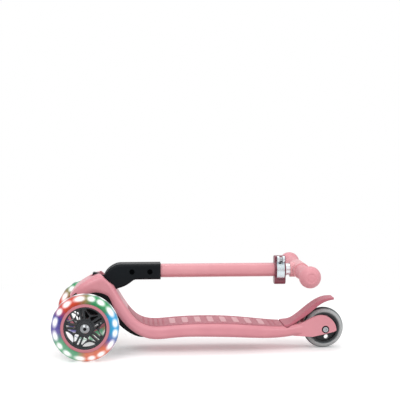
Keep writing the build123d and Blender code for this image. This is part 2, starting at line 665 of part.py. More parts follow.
# Two shells that close round the column's foot and form the folding knuckle
SHELL_EDGE_R = 5.0
CAVITY_HALF = EAR_Y[1] + 0.5
CAVITY_SPAN = (LOCK_ANGLE - UPRIGHT_TURN - 30, EAR_SPAN[1] + 10)
OUT_OF_SHELL_R = 27.0
ROD_WAY_HALF = PUSH_ROD_R + 0.8
LEG_WAY = (EAR_Y[0] - 0.5, CAVITY_HALF)
NUT_SEAT = SHELL_HALF - 4
NUT_ROOM_R = 5.0
for shell_name, shell_side in (("left", -1), ("right", 1)):
    with BuildPart() as shell:
        extrude(knuckle_outline.sketch, amount=-shell_side * SHELL_HALF)
        outer_face = shell.faces().sort_by(Axis.Y)[-1 if shell_side > 0 else 0]
        fillet(outer_face.edges(), SHELL_EDGE_R)
        with BuildSketch(along(STEM_START)):
            Circle(STEM_R)
        extrude(amount=SHELL_END - STEM_START, mode=Mode.SUBTRACT)
        with BuildSketch(side_plane(CAVITY_HALF)):
            pivot_sector(CAVITY_R, *CAVITY_SPAN)
            with Locations((PIVOT_X, PIVOT_Z)):
                Circle(EYE_R + 0.8)
        extrude(amount=2 * CAVITY_HALF, mode=Mode.SUBTRACT)
        with BuildSketch(side_plane(TONGUE_Y[1])):
            with Locations(Location((*link_middle, 0), (0, 0, link_turn))):
                Rectangle(link_long, LINK_WIDE)
        extrude(amount=2 * TONGUE_Y[1], mode=Mode.SUBTRACT)
        # Ways out of the knuckle for the push rod and for the bracket's legs
        with BuildSketch(side_plane(ROD_WAY_HALF)):
            pivot_sector(OUT_OF_SHELL_R, LOCK_ANGLE - UPRIGHT_TURN - 14, LOCK_ANGLE + 14)
        extrude(amount=2 * ROD_WAY_HALF, mode=Mode.SUBTRACT)
        with BuildSketch(side_plane(LEG_WAY[1] if shell_side > 0 else -LEG_WAY[0])):
            pivot_sector(OUT_OF_SHELL_R, LEG_ANGLE - UPRIGHT_TURN - 40, LEG_ANGLE + 40)
        extrude(amount=LEG_WAY[1] - LEG_WAY[0], mode=Mode.SUBTRACT)
        with BuildSketch(across(PIVOT_X, -PIN_HALF - 0.3, PIVOT_Z)):
            Circle(PIN_R + 0.3)
        extrude(amount=2 * (PIN_HALF + 0.3), mode=Mode.SUBTRACT)
        for bolt_x in SHELL_BOLTS_X:
            with BuildSketch(across(bolt_x, 0, STEM_Z)):
                Circle(SHELL_BOLT_R)
            extrude(amount=shell_side * SHELL_HALF, mode=Mode.SUBTRACT)
            with BuildSketch(across(bolt_x, shell_side * NUT_SEAT, STEM_Z)):
                Circle(NUT_ROOM_R)
            extrude(amount=shell_side * (SHELL_HALF - NUT_SEAT), mode=Mode.SUBTRACT)
    save(shell, f"hinge_shell_{shell_name}")

# Bolts through the shells, the tube and the tongue, with their nuts
SHELL_HEAD_R = 4.4
SHELL_HEAD = 3.2
SHELL_NUT = 3.0
with BuildPart() as shell_bolts:
    for bolt_x in SHELL_BOLTS_X:
        with BuildSketch(across(bolt_x, -NUT_SEAT, STEM_Z)):
            Circle(SHELL_BOLT_R)
        extrude(amount=2 * NUT_SEAT + SHELL_NUT + 0.4)
        with BuildSketch(across(bolt_x, -NUT_SEAT - SHELL_HEAD, STEM_Z)):
            Circle(SHELL_HEAD_R)
        extrude(amount=SHELL_HEAD)
        with BuildSketch(across(bolt_x, -NUT_SEAT - SHELL_HEAD, STEM_Z)):
            RegularPolygon(SMALL_HEX, 6)
        extrude(amount=2, mode=Mode.SUBTRACT)
save(shell_bolts, "shell_bolts")

with BuildPart() as shell_nuts:
    for bolt_x in SHELL_BOLTS_X:
        with BuildSketch(across(bolt_x, NUT_SEAT, STEM_Z)):
            RegularPolygon(SHELL_HEAD_R, 6)
            Circle(SHELL_BOLT_R, mode=Mode.SUBTRACT)
        extrude(amount=SHELL_NUT)
save(shell_nuts, "shell_nuts")

# Clamp collar round the top of the column, split above, with a lobe below
COLLAR_MID = sum(COLLAR_X) / 2
COLLAR_WIDE = COLLAR_X[1] - COLLAR_X[0]
EAR_HALF = 9.0
EAR_MID = 17.0
EAR_HIGH = 18.0
LOBE_WIDE = 22.0
LOBE_LOW = -27.0
LOBE_TOP = -9.0
SPLIT = 2.0
CLAMP_BOLT_R = 2.5
collar_face = along(COLLAR_X[0])
with BuildPart() as clamp_collar:
    with BuildSketch(collar_face):
        Circle(COLLAR_R)
        with Locations((0, EAR_MID)):
            RectangleRounded(2 * EAR_HALF, EAR_HIGH, 4)
        with Locations((0, (LOBE_LOW + LOBE_TOP) / 2)):
            RectangleRounded(LOBE_WIDE, LOBE_TOP - LOBE_LOW, 8)
    extrude(amount=COLLAR_WIDE)
    fillet(clamp_collar.edges().group_by(Axis.X)[0] + clamp_collar.edges().group_by(Axis.X)[-1], 1.5)
    with BuildSketch(collar_face):
        Circle(STEM_R)
    extrude(amount=STEM_END - COLLAR_X[0], mode=Mode.SUBTRACT)
    with BuildSketch(collar_face):
        Circle(INNER_R + RUN)
    extrude(amount=COLLAR_WIDE, mode=Mode.SUBTRACT)
    with BuildSketch(collar_face):
        with Locations((0, COLLAR_R)):
            Rectangle(SPLIT, EAR_HIGH + SPLIT)
    extrude(amount=COLLAR_WIDE, mode=Mode.SUBTRACT)
    with BuildSketch(across(COLLAR_MID, -EAR_HALF, CLAMP_BOLT_Z)):
        Circle(CLAMP_BOLT_R)
    extrude(amount=2 * EAR_HALF, mode=Mode.SUBTRACT)
save(clamp_collar, "clamp_collar")

# Clamp bolt with its eye for the lever pin, and the nut on the far side
CLAMP_NUT_R = 4.6
CLAMP_NUT = 4.0
EYELET_R = 4.0
LEVER_PIN_R = 2.0
with BuildPart() as clamp_bolt:
    with BuildSketch(across(COLLAR_MID, LEVER_PIVOT_Y, CLAMP_BOLT_Z)):
        Circle(CLAMP_BOLT_R)
    extrude(amount=EAR_HALF + CLAMP_NUT - LEVER_PIVOT_Y)
    with BuildSketch(along(COLLAR_MID - CLAMP_BOLT_R, LEVER_PIVOT_Y, CLAMP_BOLT_Z)):
        Circle(EYELET_R)
    extrude(amount=2 * CLAMP_BOLT_R)
    with BuildSketch(along(COLLAR_MID - EYELET_R, LEVER_PIVOT_Y, CLAMP_BOLT_Z)):
        Circle(LEVER_PIN_R + RUN)
    extrude(amount=2 * EYELET_R, mode=Mode.SUBTRACT)
save(clamp_bolt, "clamp_bolt")

with BuildPart() as clamp_nut:
    with BuildSketch(across(COLLAR_MID, EAR_HALF, CLAMP_BOLT_Z)):
        RegularPolygon(CLAMP_NUT_R, 6)
        Circle(CLAMP_BOLT_R, mode=Mode.SUBTRACT)
    extrude(amount=CLAMP_NUT)
save(clamp_nut, "clamp_nut")

# Clamp lever: a cam at the bolt's eye and a handle that wraps the collar
lever_face = along(COLLAR_MID - LEVER_HALF)
lever_pivot = along(COLLAR_MID - LEVER_HALF, LEVER_PIVOT_Y, CLAMP_BOLT_Z)
LEVER_IN = COLLAR_R + 1.2
LEVER_OUT = COLLAR_R + 4.6
LEVER_SPAN = (128.0, 222.0)
CAM_R = 6.2
CAM_SLOT_R = 8.5
CAM_SLOT_HALF = 3.0
with BuildPart() as clamp_lever:
    with BuildSketch(lever_face):
        Circle(LEVER_OUT)
        Circle(LEVER_IN, mode=Mode.SUBTRACT)
        with BuildLine():
            first, last = (3 * COLLAR_R * Vector(*unit(end)) for end in LEVER_SPAN)
            Polyline((0, 0), first, (-3 * COLLAR_R, 0), last, close=True)
        make_face(mode=Mode.INTERSECT)
        with Locations((LEVER_PIVOT_Y, CLAMP_BOLT_Z - STEM_Z)):
            Circle(CAM_R)
    extrude(amount=2 * LEVER_HALF)
    with BuildSketch(lever_face):
        with Locations((0, EAR_MID)):
            Rectangle(2 * EAR_HALF + 0.8, EAR_HIGH + 4)
        Circle(COLLAR_R + 0.8)
    extrude(amount=2 * LEVER_HALF, mode=Mode.SUBTRACT)
    with BuildSketch(along(COLLAR_MID - CAM_SLOT_HALF, LEVER_PIVOT_Y, CLAMP_BOLT_Z)):
        Circle(CAM_SLOT_R)
    extrude(amount=2 * CAM_SLOT_HALF, mode=Mode.SUBTRACT)
    with BuildSketch(lever_pivot):
        Circle(LEVER_PIN_R)
    extrude(amount=2 * LEVER_HALF, mode=Mode.SUBTRACT)
save(clamp_lever, "clamp_lever")

with BuildPart() as lever_pin:
    with BuildSketch(lever_pivot):
        Circle(LEVER_PIN_R)
    extrude(amount=2 * LEVER_HALF)
save(lever_pin, "lever_pin")

# Sliding inner tube with the guide at its foot
GUIDE_FOOT = 12.0
GUIDE_PLUG = 18.0
GUIDE_BORE_R = 7.0
with BuildPart() as inner_tube:
    with BuildSketch(along(INNER_START)):
        Circle(INNER_R)
        Circle(INNER_BORE_R, mode=Mode.SUBTRACT)
    extrude(amount=BAR_X - INNER_R - 0.4 - INNER_START)
save(inner_tube, "inner_tube")

with BuildPart() as tube_guide:
    with BuildSketch(along(INNER_START - GUIDE_FOOT)):
        Circle(STEM_BORE_R - RUN)
        Circle(GUIDE_BORE_R, mode=Mode.SUBTRACT)
    extrude(amount=GUIDE_FOOT)
    with BuildSketch(along(INNER_START)):
        Circle(INNER_BORE_R)
        Circle(GUIDE_BORE_R, mode=Mode.SUBTRACT)
    extrude(amount=GUIDE_PLUG)
save(tube_guide, "tube_guide")

# Handlebar: steel cross bar, moulded tee and two grips with ball ends
TEE_HALF = 30.0
TEE_R = 15.0
SOCKET_R = 14.0
SOCKET_LONG = 18.0
CROSS_END = 112.0
GRIP_START_R = 13.2
GRIP_R = 14.6
BALL_R = 19.4
BALL_FLAT_R = 9.0
cross_bar = rod(BAR_X, -CROSS_END, STEM_Z, INNER_R, 2 * CROSS_END)
save(cross_bar, "cross_bar")

with BuildPart() as bar_tee:
    with BuildSketch(across(BAR_X, -TEE_HALF, STEM_Z)):
        Circle(TEE_R)
    extrude(amount=2 * TEE_HALF)
    with BuildSketch(along(BAR_X - SOCKET_LONG)):
        Circle(SOCKET_R)
    extrude(amount=SOCKET_LONG)
    add(cross_bar.part, mode=Mode.SUBTRACT)
    add(inner_tube.part, mode=Mode.SUBTRACT)
    with BuildSketch(along(BAR_X - SOCKET_LONG)):
        Circle(INNER_BORE_R)
    extrude(amount=SOCKET_LONG - INNER_R, mode=Mode.SUBTRACT)
save(bar_tee, "bar_tee")

for grip_name, grip_side in (("left", -1), ("right", 1)):
    with BuildPart() as grip:
        with BuildSketch(wheel_plane(BAR_X, 0, STEM_Z)):
            with BuildLine():
                start_y = grip_side * (TEE_HALF + 0.4)
                neck_y = grip_side * (HALF_BAR - math.sqrt(BALL_R**2 - GRIP_R**2))
                end_y = grip_side * (HALF_BAR + math.sqrt(BALL_R**2 - BALL_FLAT_R**2))
                Polyline((INNER_R, start_y), (GRIP_START_R, start_y), (GRIP_R, neck_y))
                ThreePointArc((GRIP_R, neck_y), (BALL_R, grip_side * HALF_BAR), (BALL_FLAT_R, end_y))
                Polyline((BALL_FLAT_R, end_y), (0, end_y), (0, grip_side * CROSS_END),
                         (INNER_R, grip_side * CROSS_END), (INNER_R, start_y))
            make_face()
        revolve(axis=crosswise(BAR_X, STEM_Z))
    save(grip, f"grip_{grip_name}")


# Front wheels
RIM_IN = 37.5
RIM_OUT = 43.0
RIM_HALF = 10.0
LIGHT_OUT = 47.0
LIGHT_HALF = 5.0
LIGHT_BAND = 1.2
LAMP_R = 2.5
LAMPS = 6
SPOKES = 5
SPOKE_HALF = 6.0
FIRST_SPOKE = 102.0
SPOKE_SLOT_MID = 25.5
LEAF_R = (25.5, 35.0)
CORE_WALL_R = 35.2
HUB_R = 13.5
HUB_BORE_R = 9.0


def front_wheel(side_name, y):
    """One front wheel about the crosswise axis at y: tyre, rim ring, spoked core, lights and bearings."""
    with BuildPart() as tyre:
        with BuildSketch(wheel_plane(0, y, FRONT_AXLE_Z)):
            with BuildLine():
                shoulder = FRONT_WHEEL_R - WHEEL_HALF_WIDTH - 1
                ThreePointArc((shoulder, -WHEEL_HALF_WIDTH), (FRONT_WHEEL_R, 0),
                              (shoulder, WHEEL_HALF_WIDTH))
                Polyline((shoulder, WHEEL_HALF_WIDTH), (RIM_OUT, RIM_HALF), (RIM_OUT, -RIM_HALF),
                         (shoulder, -WHEEL_HALF_WIDTH))
            make_face()
            with Locations(((RIM_OUT + LIGHT_OUT) / 2, 0)):
                Rectangle(LIGHT_OUT - RIM_OUT, 2 * LIGHT_HALF, mode=Mode.SUBTRACT)
        revolve(axis=crosswise(0, FRONT_AXLE_Z))
    save(tyre, f"front_tyre_{side_name}")
    with BuildPart() as rim:
        with BuildSketch(wheel_plane(0, y, FRONT_AXLE_Z)):
            with Locations(((RIM_IN + RIM_OUT) / 2, 0)):
                RectangleRounded(RIM_OUT - RIM_IN, 2 * RIM_HALF, 1)
        revolve(axis=crosswise(0, FRONT_AXLE_Z))
    save(rim, f"front_rim_{side_name}")
    with BuildPart() as lights:
        with BuildSketch(across(0, y - LIGHT_HALF, FRONT_AXLE_Z)):
            Circle(RIM_OUT + LIGHT_BAND)
            Circle(RIM_OUT, mode=Mode.SUBTRACT)
        extrude(amount=2 * LIGHT_HALF)
        for lamp in range(LAMPS):
            lamp_turn = 360 / LAMPS * lamp
            foot = (RIM_OUT + LIGHT_BAND / 2) * Vector(*unit(lamp_turn))
            with BuildSketch(axis_plane(foot.X, FRONT_AXLE_Z + foot.Y, lamp_turn, y)):
                Circle(LAMP_R)
            extrude(amount=LIGHT_OUT - RIM_OUT - 1.1)
    save(lights, f"front_lights_{side_name}")
    with BuildPart() as core:
        far_face = place(0, y + SPOKE_HALF, FRONT_AXLE_Z)
        with BuildSketch(Plane(origin=far_face, x_dir=(1, 0, 0), z_dir=(0, -1, 0))):
            Circle(RIM_IN)
            for spoke in range(SPOKES):
                turn = FIRST_SPOKE + 360 / SPOKES * spoke
                # Slit along the middle of the spoke
                with PolarLocations(SPOKE_SLOT_MID, 1, turn, 360, rotate=True):
                    SlotOverall(17, 3.2, mode=Mode.SUBTRACT)
                # Leaf-shaped opening between this spoke and the next
                leaf_mid = turn + 180 / SPOKES
                with BuildLine():
                    tips = [LEAF_R[1] * Vector(*unit(leaf_mid + swing)) for swing in (-21, 0, 21)]
                    dip = LEAF_R[0] * Vector(*unit(leaf_mid))
                    ThreePointArc(*tips)
                    ThreePointArc(tips[2], dip, tips[0])
                make_face(mode=Mode.SUBTRACT)
                # Slanting window on each side of the leaf
                for hand in (-1, 1):
                    base = leaf_mid - hand * 180 / SPOKES
                    window = ((15.5, 17), (19.5, 35), (23, 31), (32, 13), (30, 10))
                    with BuildLine():
                        Polyline([radius * Vector(*unit(base + hand * swing)) for radius, swing in window],
                                 close=True)
                    make_face(mode=Mode.SUBTRACT)
        extrude(amount=2 * SPOKE_HALF)
        with BuildSketch(across(0, y - HUB_HALF, FRONT_AXLE_Z)):
            Circle(HUB_R)
        extrude(amount=2 * HUB_HALF)
        with BuildSketch(across(0, y - RIM_HALF + 1, FRONT_AXLE_Z)):
            Circle(RIM_IN)
            Circle(CORE_WALL_R, mode=Mode.SUBTRACT)
        extrude(amount=2 * (RIM_HALF - 1))
        with BuildSketch(across(0, y - HUB_HALF, FRONT_AXLE_Z)):
            Circle(HUB_BORE_R)
        extrude(amount=2 * HUB_HALF, mode=Mode.SUBTRACT)
        for seat in (y - HUB_HALF, y + HUB_HALF - BEARING_WIDTH):
            with BuildSketch(across(0, seat, FRONT_AXLE_Z)):
                Circle(BEARING_R)
            extrude(amount=BEARING_WIDTH, mode=Mode.SUBTRACT)
    save(core, f"front_core_{side_name}")
    bearings(0, y, FRONT_AXLE_Z, f"front_bearings_{side_name}", f"front_sleeve_{side_name}")


SHIELD_R = (6.4, 8.6)
SHIELD_DEEP = 0.5
SLEEVE_R = 6.0


def bearings(x, y, z, pair_name, sleeve_name):
    """Two ball bearings at the ends of a hub, and the sleeve between them."""
    with BuildPart() as pair:
        for seat in (y - HUB_HALF, y + HUB_HALF - BEARING_WIDTH):
            with BuildSketch(across(x, seat, z)):
                Circle(BEARING_R)
                Circle(AXLE_R + RUN, mode=Mode.SUBTRACT)
            extrude(amount=BEARING_WIDTH)
            for shield in (seat, seat + BEARING_WIDTH - SHIELD_DEEP):
                with BuildSketch(across(x, shield, z)):
                    Circle(SHIELD_R[1])
                    Circle(SHIELD_R[0], mode=Mode.SUBTRACT)
                extrude(amount=SHIELD_DEEP, mode=Mode.SUBTRACT)
    save(pair, pair_name)
    with BuildPart() as sleeve:
        gap = HUB_HALF - BEARING_WIDTH
        with BuildSketch(across(x, y - gap, z)):
            Circle(SLEEVE_R)
            Circle(AXLE_R + RUN, mode=Mode.SUBTRACT)
        extrude(amount=2 * gap)
    save(sleeve, sleeve_name)


front_wheel("left", -TRACK / 2)
front_wheel("right", TRACK / 2)

# Rear wheel
REAR_RIM_R = 27.5
REAR_RIM_WALL = 2.5
REAR_SHOULDER = 7.0
DISC_HALF = 4.0
DISC_HOLES = 5
DISC_HOLES_MID = 19.0
DISC_HOLE_R = 4.2
REAR_HUB_R = 13.0
with BuildPart() as rear_tyre:
    with BuildSketch(wheel_plane(WHEELBASE, 0, REAR_AXLE_Z)):
        with BuildLine():
            tread_edge = REAR_WHEEL_R - REAR_SHOULDER
            ThreePointArc((tread_edge, -WHEEL_HALF_WIDTH), (REAR_WHEEL_R, 0), (tread_edge, WHEEL_HALF_WIDTH))
            Polyline((tread_edge, WHEEL_HALF_WIDTH), (REAR_RIM_R, HUB_HALF), (REAR_RIM_R, -HUB_HALF),
                     (tread_edge, -WHEEL_HALF_WIDTH))
        make_face()
    revolve(axis=crosswise(WHEELBASE, REAR_AXLE_Z))
save(rear_tyre, "rear_tyre")

with BuildPart() as rear_core:
    with BuildSketch(across(WHEELBASE, -DISC_HALF, REAR_AXLE_Z)):
        Circle(REAR_RIM_R)
        with PolarLocations(DISC_HOLES_MID, DISC_HOLES):
            Circle(DISC_HOLE_R, mode=Mode.SUBTRACT)
    extrude(amount=2 * DISC_HALF)
    with BuildSketch(across(WHEELBASE, -HUB_HALF, REAR_AXLE_Z)):
        Circle(REAR_RIM_R)
        Circle(REAR_RIM_R - REAR_RIM_WALL, mode=Mode.SUBTRACT)
        Circle(REAR_HUB_R)
    extrude(amount=2 * HUB_HALF)
    with BuildSketch(across(WHEELBASE, -HUB_HALF, REAR_AXLE_Z)):
        Circle(HUB_BORE_R)
    extrude(amount=2 * HUB_HALF, mode=Mode.SUBTRACT)
    for seat_y in (-HUB_HALF, HUB_HALF - BEARING_WIDTH):
        with BuildSketch(across(WHEELBASE, seat_y, REAR_AXLE_Z)):
            Circle(BEARING_R)
        extrude(amount=BEARING_WIDTH, mode=Mode.SUBTRACT)
save(rear_core, "rear_core")
bearings(WHEELBASE, 0, REAR_AXLE_Z, "rear_bearings", "rear_sleeve")

# Rear axle bolt and nut with a washer each, and the spacers beside the hub
WASHER = 1.2
with BuildPart() as rear_washers:
    for washer_y in (-AXLE_SEAT_Y - WASHER, AXLE_SEAT_Y):
        with BuildSketch(across(WHEELBASE, washer_y, REAR_AXLE_Z)):
            Circle(RECESS_R - 0.2)
            Circle(AXLE_R, mode=Mode.SUBTRACT)
        extrude(amount=WASHER)
save(rear_washers, "rear_washers")

HEAD_SEAT_Y = AXLE_SEAT_Y + WASHER
NUT_R = 6.2
NUT_HIGH = 4.0
HEAD_R = 4.9
HEAD_HIGH = 2.6
HEAD_HEX = 2.6
SPACER_R = 6.5
SIDE_PLAY = 0.3
with BuildPart() as rear_axle_bolt:
    with BuildSketch(across(WHEELBASE, -HEAD_SEAT_Y, REAR_AXLE_Z)):
        Circle(AXLE_R)
    extrude(amount=2 * HEAD_SEAT_Y + NUT_HIGH + 0.5)
    with BuildSketch(across(WHEELBASE, -HEAD_SEAT_Y - HEAD_HIGH, REAR_AXLE_Z)):
        Circle(HEAD_R)
    extrude(amount=HEAD_HIGH)
    with BuildSketch(across(WHEELBASE, -HEAD_SEAT_Y - HEAD_HIGH, REAR_AXLE_Z)):
        RegularPolygon(HEAD_HEX, 6)
    extrude(amount=HEAD_HIGH - 1, mode=Mode.SUBTRACT)
save(rear_axle_bolt, "rear_axle_bolt")

with BuildPart() as rear_axle_nut:
    with BuildSketch(across(WHEELBASE, HEAD_SEAT_Y, REAR_AXLE_Z)):
        RegularPolygon(NUT_R, 6)
        Circle(AXLE_R, mode=Mode.SUBTRACT)
    extrude(amount=NUT_HIGH)
save(rear_axle_nut, "rear_axle_nut")

with BuildPart() as rear_spacers:
    for spacer_y in (-ARM_IN, HUB_HALF + SIDE_PLAY):
        with BuildSketch(across(WHEELBASE, spacer_y, REAR_AXLE_Z)):
            Circle(SPACER_R)
            Circle(AXLE_R, mode=Mode.SUBTRACT)
        extrude(amount=ARM_IN - HUB_HALF - SIDE_PLAY)
save(rear_spacers, "rear_spacers")

# Front axle beam that leans about the kingpin
BEAM_R = 12.0
BEAM_TOP = (11.0, 78.0)
BEAM_TOP_R = 14.0
BEAM_EDGE_R = 5.0
BEAM_BOSS_R = 16.0
HEAD_ROOM_R = 13.0
BUSH_ROOM_R = BUSH_R + 1.5
FAR_ALONG = 60.0
with BuildPart() as axle_beam:
    with BuildSketch(side_plane(BEAM_HALF)):
        with Locations((0, FRONT_AXLE_Z)):
            Circle(BEAM_R)
        with Locations(BEAM_TOP):
            Circle(BEAM_TOP_R)
        make_hull()
    extrude(amount=2 * BEAM_HALF)
    fillet(axle_beam.edges().group_by(Axis.Y)[0] + axle_beam.edges().group_by(Axis.Y)[-1], BEAM_EDGE_R)
    with BuildSketch(kingpin.offset(-BEAM_BOSS_END)):
        Circle(BEAM_BOSS_R)
    extrude(amount=2 * BEAM_BOSS_END)
    with BuildSketch(kingpin.offset(-FAR_ALONG)):
        Circle(KINGPIN_R + RUN)
    extrude(amount=2 * FAR_ALONG, mode=Mode.SUBTRACT)
    with BuildSketch(kingpin.offset(-FAR_ALONG)):
        Circle(HEAD_ROOM_R)
    extrude(amount=FAR_ALONG - BEAM_BOSS_END, mode=Mode.SUBTRACT)
    with BuildSketch(kingpin.offset(BEAM_BOSS_END)):
        Circle(BUSH_ROOM_R)
    extrude(amount=FAR_ALONG - BEAM_BOSS_END, mode=Mode.SUBTRACT)
    with BuildSketch(across(0, -BEAM_HALF, FRONT_AXLE_Z)):
        Circle(AXLE_R)
    extrude(amount=2 * BEAM_HALF, mode=Mode.SUBTRACT)
save(axle_beam, "axle_beam")

CAP_BORE = 3.2
AXLE_HALF = TRACK / 2 + HUB_HALF + SIDE_PLAY + CAP_BORE
axle_shaft = rod(0, -AXLE_HALF, FRONT_AXLE_Z, AXLE_R, 2 * AXLE_HALF)
save(axle_shaft, "axle_shaft")

SLEEVE_END = TRACK / 2 - HUB_HALF - SIDE_PLAY
AXLE_SLEEVE_R = 7.0
with BuildPart() as axle_sleeves:
    for sleeve_y in (-SLEEVE_END, BEAM_HALF):
        with BuildSketch(across(0, sleeve_y, FRONT_AXLE_Z)):
            Circle(AXLE_SLEEVE_R)
            Circle(AXLE_R, mode=Mode.SUBTRACT)
        extrude(amount=SLEEVE_END - BEAM_HALF)
save(axle_sleeves, "axle_sleeves")

CAP_R = 8.3
CAP_WALL = 2.0
CAP_RISE = 3.6
DOME_R = (CAP_R**2 + CAP_RISE**2) / (2 * CAP_RISE)
with BuildPart() as axle_bolts:
    for bolt_side in (-1, 1):
        crown = CAP_WALL + CAP_RISE
        part_way = crown - DOME_R + math.sqrt(DOME_R**2 - (CAP_R / 2) ** 2)
        seat_y = bolt_side * (TRACK / 2 + HUB_HALF + SIDE_PLAY)
        with BuildSketch(wheel_plane(0, seat_y, FRONT_AXLE_Z)):
            with BuildLine():
                Polyline((AXLE_R, 0), (CAP_R, 0), (CAP_R, bolt_side * CAP_WALL))
                ThreePointArc((CAP_R, bolt_side * CAP_WALL), (CAP_R / 2, bolt_side * part_way),
                              (0, bolt_side * crown))
                Polyline((0, bolt_side * crown), (0, bolt_side * CAP_BORE), (AXLE_R, bolt_side * CAP_BORE),
                         (AXLE_R, 0))
            make_face()
        revolve(axis=crosswise(0, FRONT_AXLE_Z))
save(axle_bolts, "axle_bolts")
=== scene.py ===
"""Looks of a folded child's kick scooter: finishes, lit tyres, ribbed grips, tread bars and a studio."""
import math

import bmesh
import bpy
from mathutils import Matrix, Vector
from mathutils.bvhtree import BVHTree


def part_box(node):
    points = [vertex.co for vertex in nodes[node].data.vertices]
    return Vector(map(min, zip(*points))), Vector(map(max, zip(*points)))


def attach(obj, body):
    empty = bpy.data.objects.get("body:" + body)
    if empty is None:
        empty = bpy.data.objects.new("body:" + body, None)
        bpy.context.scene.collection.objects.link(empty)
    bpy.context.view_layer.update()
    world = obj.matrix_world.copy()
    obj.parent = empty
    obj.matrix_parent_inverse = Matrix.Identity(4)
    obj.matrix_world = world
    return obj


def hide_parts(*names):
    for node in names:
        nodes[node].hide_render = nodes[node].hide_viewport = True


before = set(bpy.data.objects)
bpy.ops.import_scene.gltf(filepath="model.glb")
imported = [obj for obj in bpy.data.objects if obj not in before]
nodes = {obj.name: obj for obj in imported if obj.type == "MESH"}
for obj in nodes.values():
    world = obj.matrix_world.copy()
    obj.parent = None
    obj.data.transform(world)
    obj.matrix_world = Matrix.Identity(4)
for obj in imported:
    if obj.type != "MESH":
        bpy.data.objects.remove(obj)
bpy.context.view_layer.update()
MM = 0.001


# Small helpers for node trees and places

def srgb(red, green, blue):
    """Linear colour with alpha from 8-bit screen values."""
    shares = [value / 255 for value in (red, green, blue)]
    return [*(((share + 0.055) / 1.055) ** 2.4 if share > 0.04 else share / 12.92 for share in shares), 1.0]


def corners(node):
    """Lowest and highest corner of a CAD node."""
    return [Vector(corner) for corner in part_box(node)]


def middle(node):
    """Middle of a CAD node's box."""
    low, high = corners(node)
    return (low + high) / 2


def add(tree, kind, **settings):
    """New node in a tree, with some of its settings."""
    node = tree.nodes.new(kind)
    for key, value in settings.items():
        setattr(node, key, value)
    return node


def feed(tree, socket, value):
    """Links an input to another node's output, or sets its plain value."""
    if isinstance(value, bpy.types.NodeSocket):
        tree.links.new(value, socket)
    else:
        socket.default_value = value


def calc(tree, operation, first, second=0.0):
    """Math node on numbers or outputs."""
    node = add(tree, "ShaderNodeMath", operation=operation)
    feed(tree, node.inputs[0], first)
    feed(tree, node.inputs[1], second)
    return node.outputs[0]


def reach(tree, first, second):
    """Length of the diagonal over two numbers."""
    squares = [calc(tree, "MULTIPLY", value, value) for value in (first, second)]
    return calc(tree, "SQRT", calc(tree, "ADD", *squares))


def step(tree, value, low, high, out_low=0.0, out_high=1.0):
    """Smooth step of a value from one range to another."""
    node = add(tree, "ShaderNodeMapRange", interpolation_type="SMOOTHSTEP")
    for socket, number in zip(node.inputs[:5], (value, low, high, out_low, out_high)):
        feed(tree, socket, number)
    return node.outputs[0]


def mix(tree, factor, first, second):
    """Blend of two colours."""
    node = add(tree, "ShaderNodeMix", data_type="RGBA")
    feed(tree, node.inputs["Factor"], factor)
    feed(tree, node.inputs[6], first)
    feed(tree, node.inputs[7], second)
    return node.outputs[2]


def spot(tree, origin=(0, 0, 0)):
    """Object coordinates counted from a point of the scooter."""
    here = add(tree, "ShaderNodeTexCoord").outputs["Object"]
    move = add(tree, "ShaderNodeVectorMath", operation="SUBTRACT")
    feed(tree, move.inputs[0], here)
    move.inputs[1].default_value = origin
    return move.outputs[0]


def axes_from(tree, origin=(0, 0, 0)):
    """Object coordinates along X, Y and Z, counted from a point of the scooter."""
    axes = add(tree, "ShaderNodeSeparateXYZ")
    feed(tree, axes.inputs[0], spot(tree, origin))
    return axes.outputs


def noise(tree, place, scale, detail):
    """Noise value at a place."""
    node = add(tree, "ShaderNodeTexNoise")
    feed(tree, node.inputs["Vector"], place)
    feed(tree, node.inputs["Scale"], scale)
    node.inputs["Detail"].default_value = detail
    return node.outputs["Fac"]


def bumped(tree, height, strength, distance, normal=None):
    """Normal of a surface with a small relief on it."""
    node = add(tree, "ShaderNodeBump")
    feed(tree, node.inputs["Height"], height)
    feed(tree, node.inputs["Strength"], strength)
    node.inputs["Distance"].default_value = distance
    if normal is not None:
        feed(tree, node.inputs["Normal"], normal)
    return node.outputs["Normal"]


def finish(name):
    """New material with its tree and its shader."""
    material = bpy.data.materials.new(name)
    material.use_nodes = True
    return material, material.node_tree, material.node_tree.nodes["Principled BSDF"]


# Shared effects

CLOUD_SCALE = 18
EDGE_WEAR_AND_SHEEN_TURN = (0.80, 0.99)
GRAIN_RELIEF = 0.4 * MM
LINE_SCALE = 900
LINE_SPREAD = (0.3, 0.7)
LINE_STRENGTH = 0.08
LINE_RELIEF = 0.2 * MM


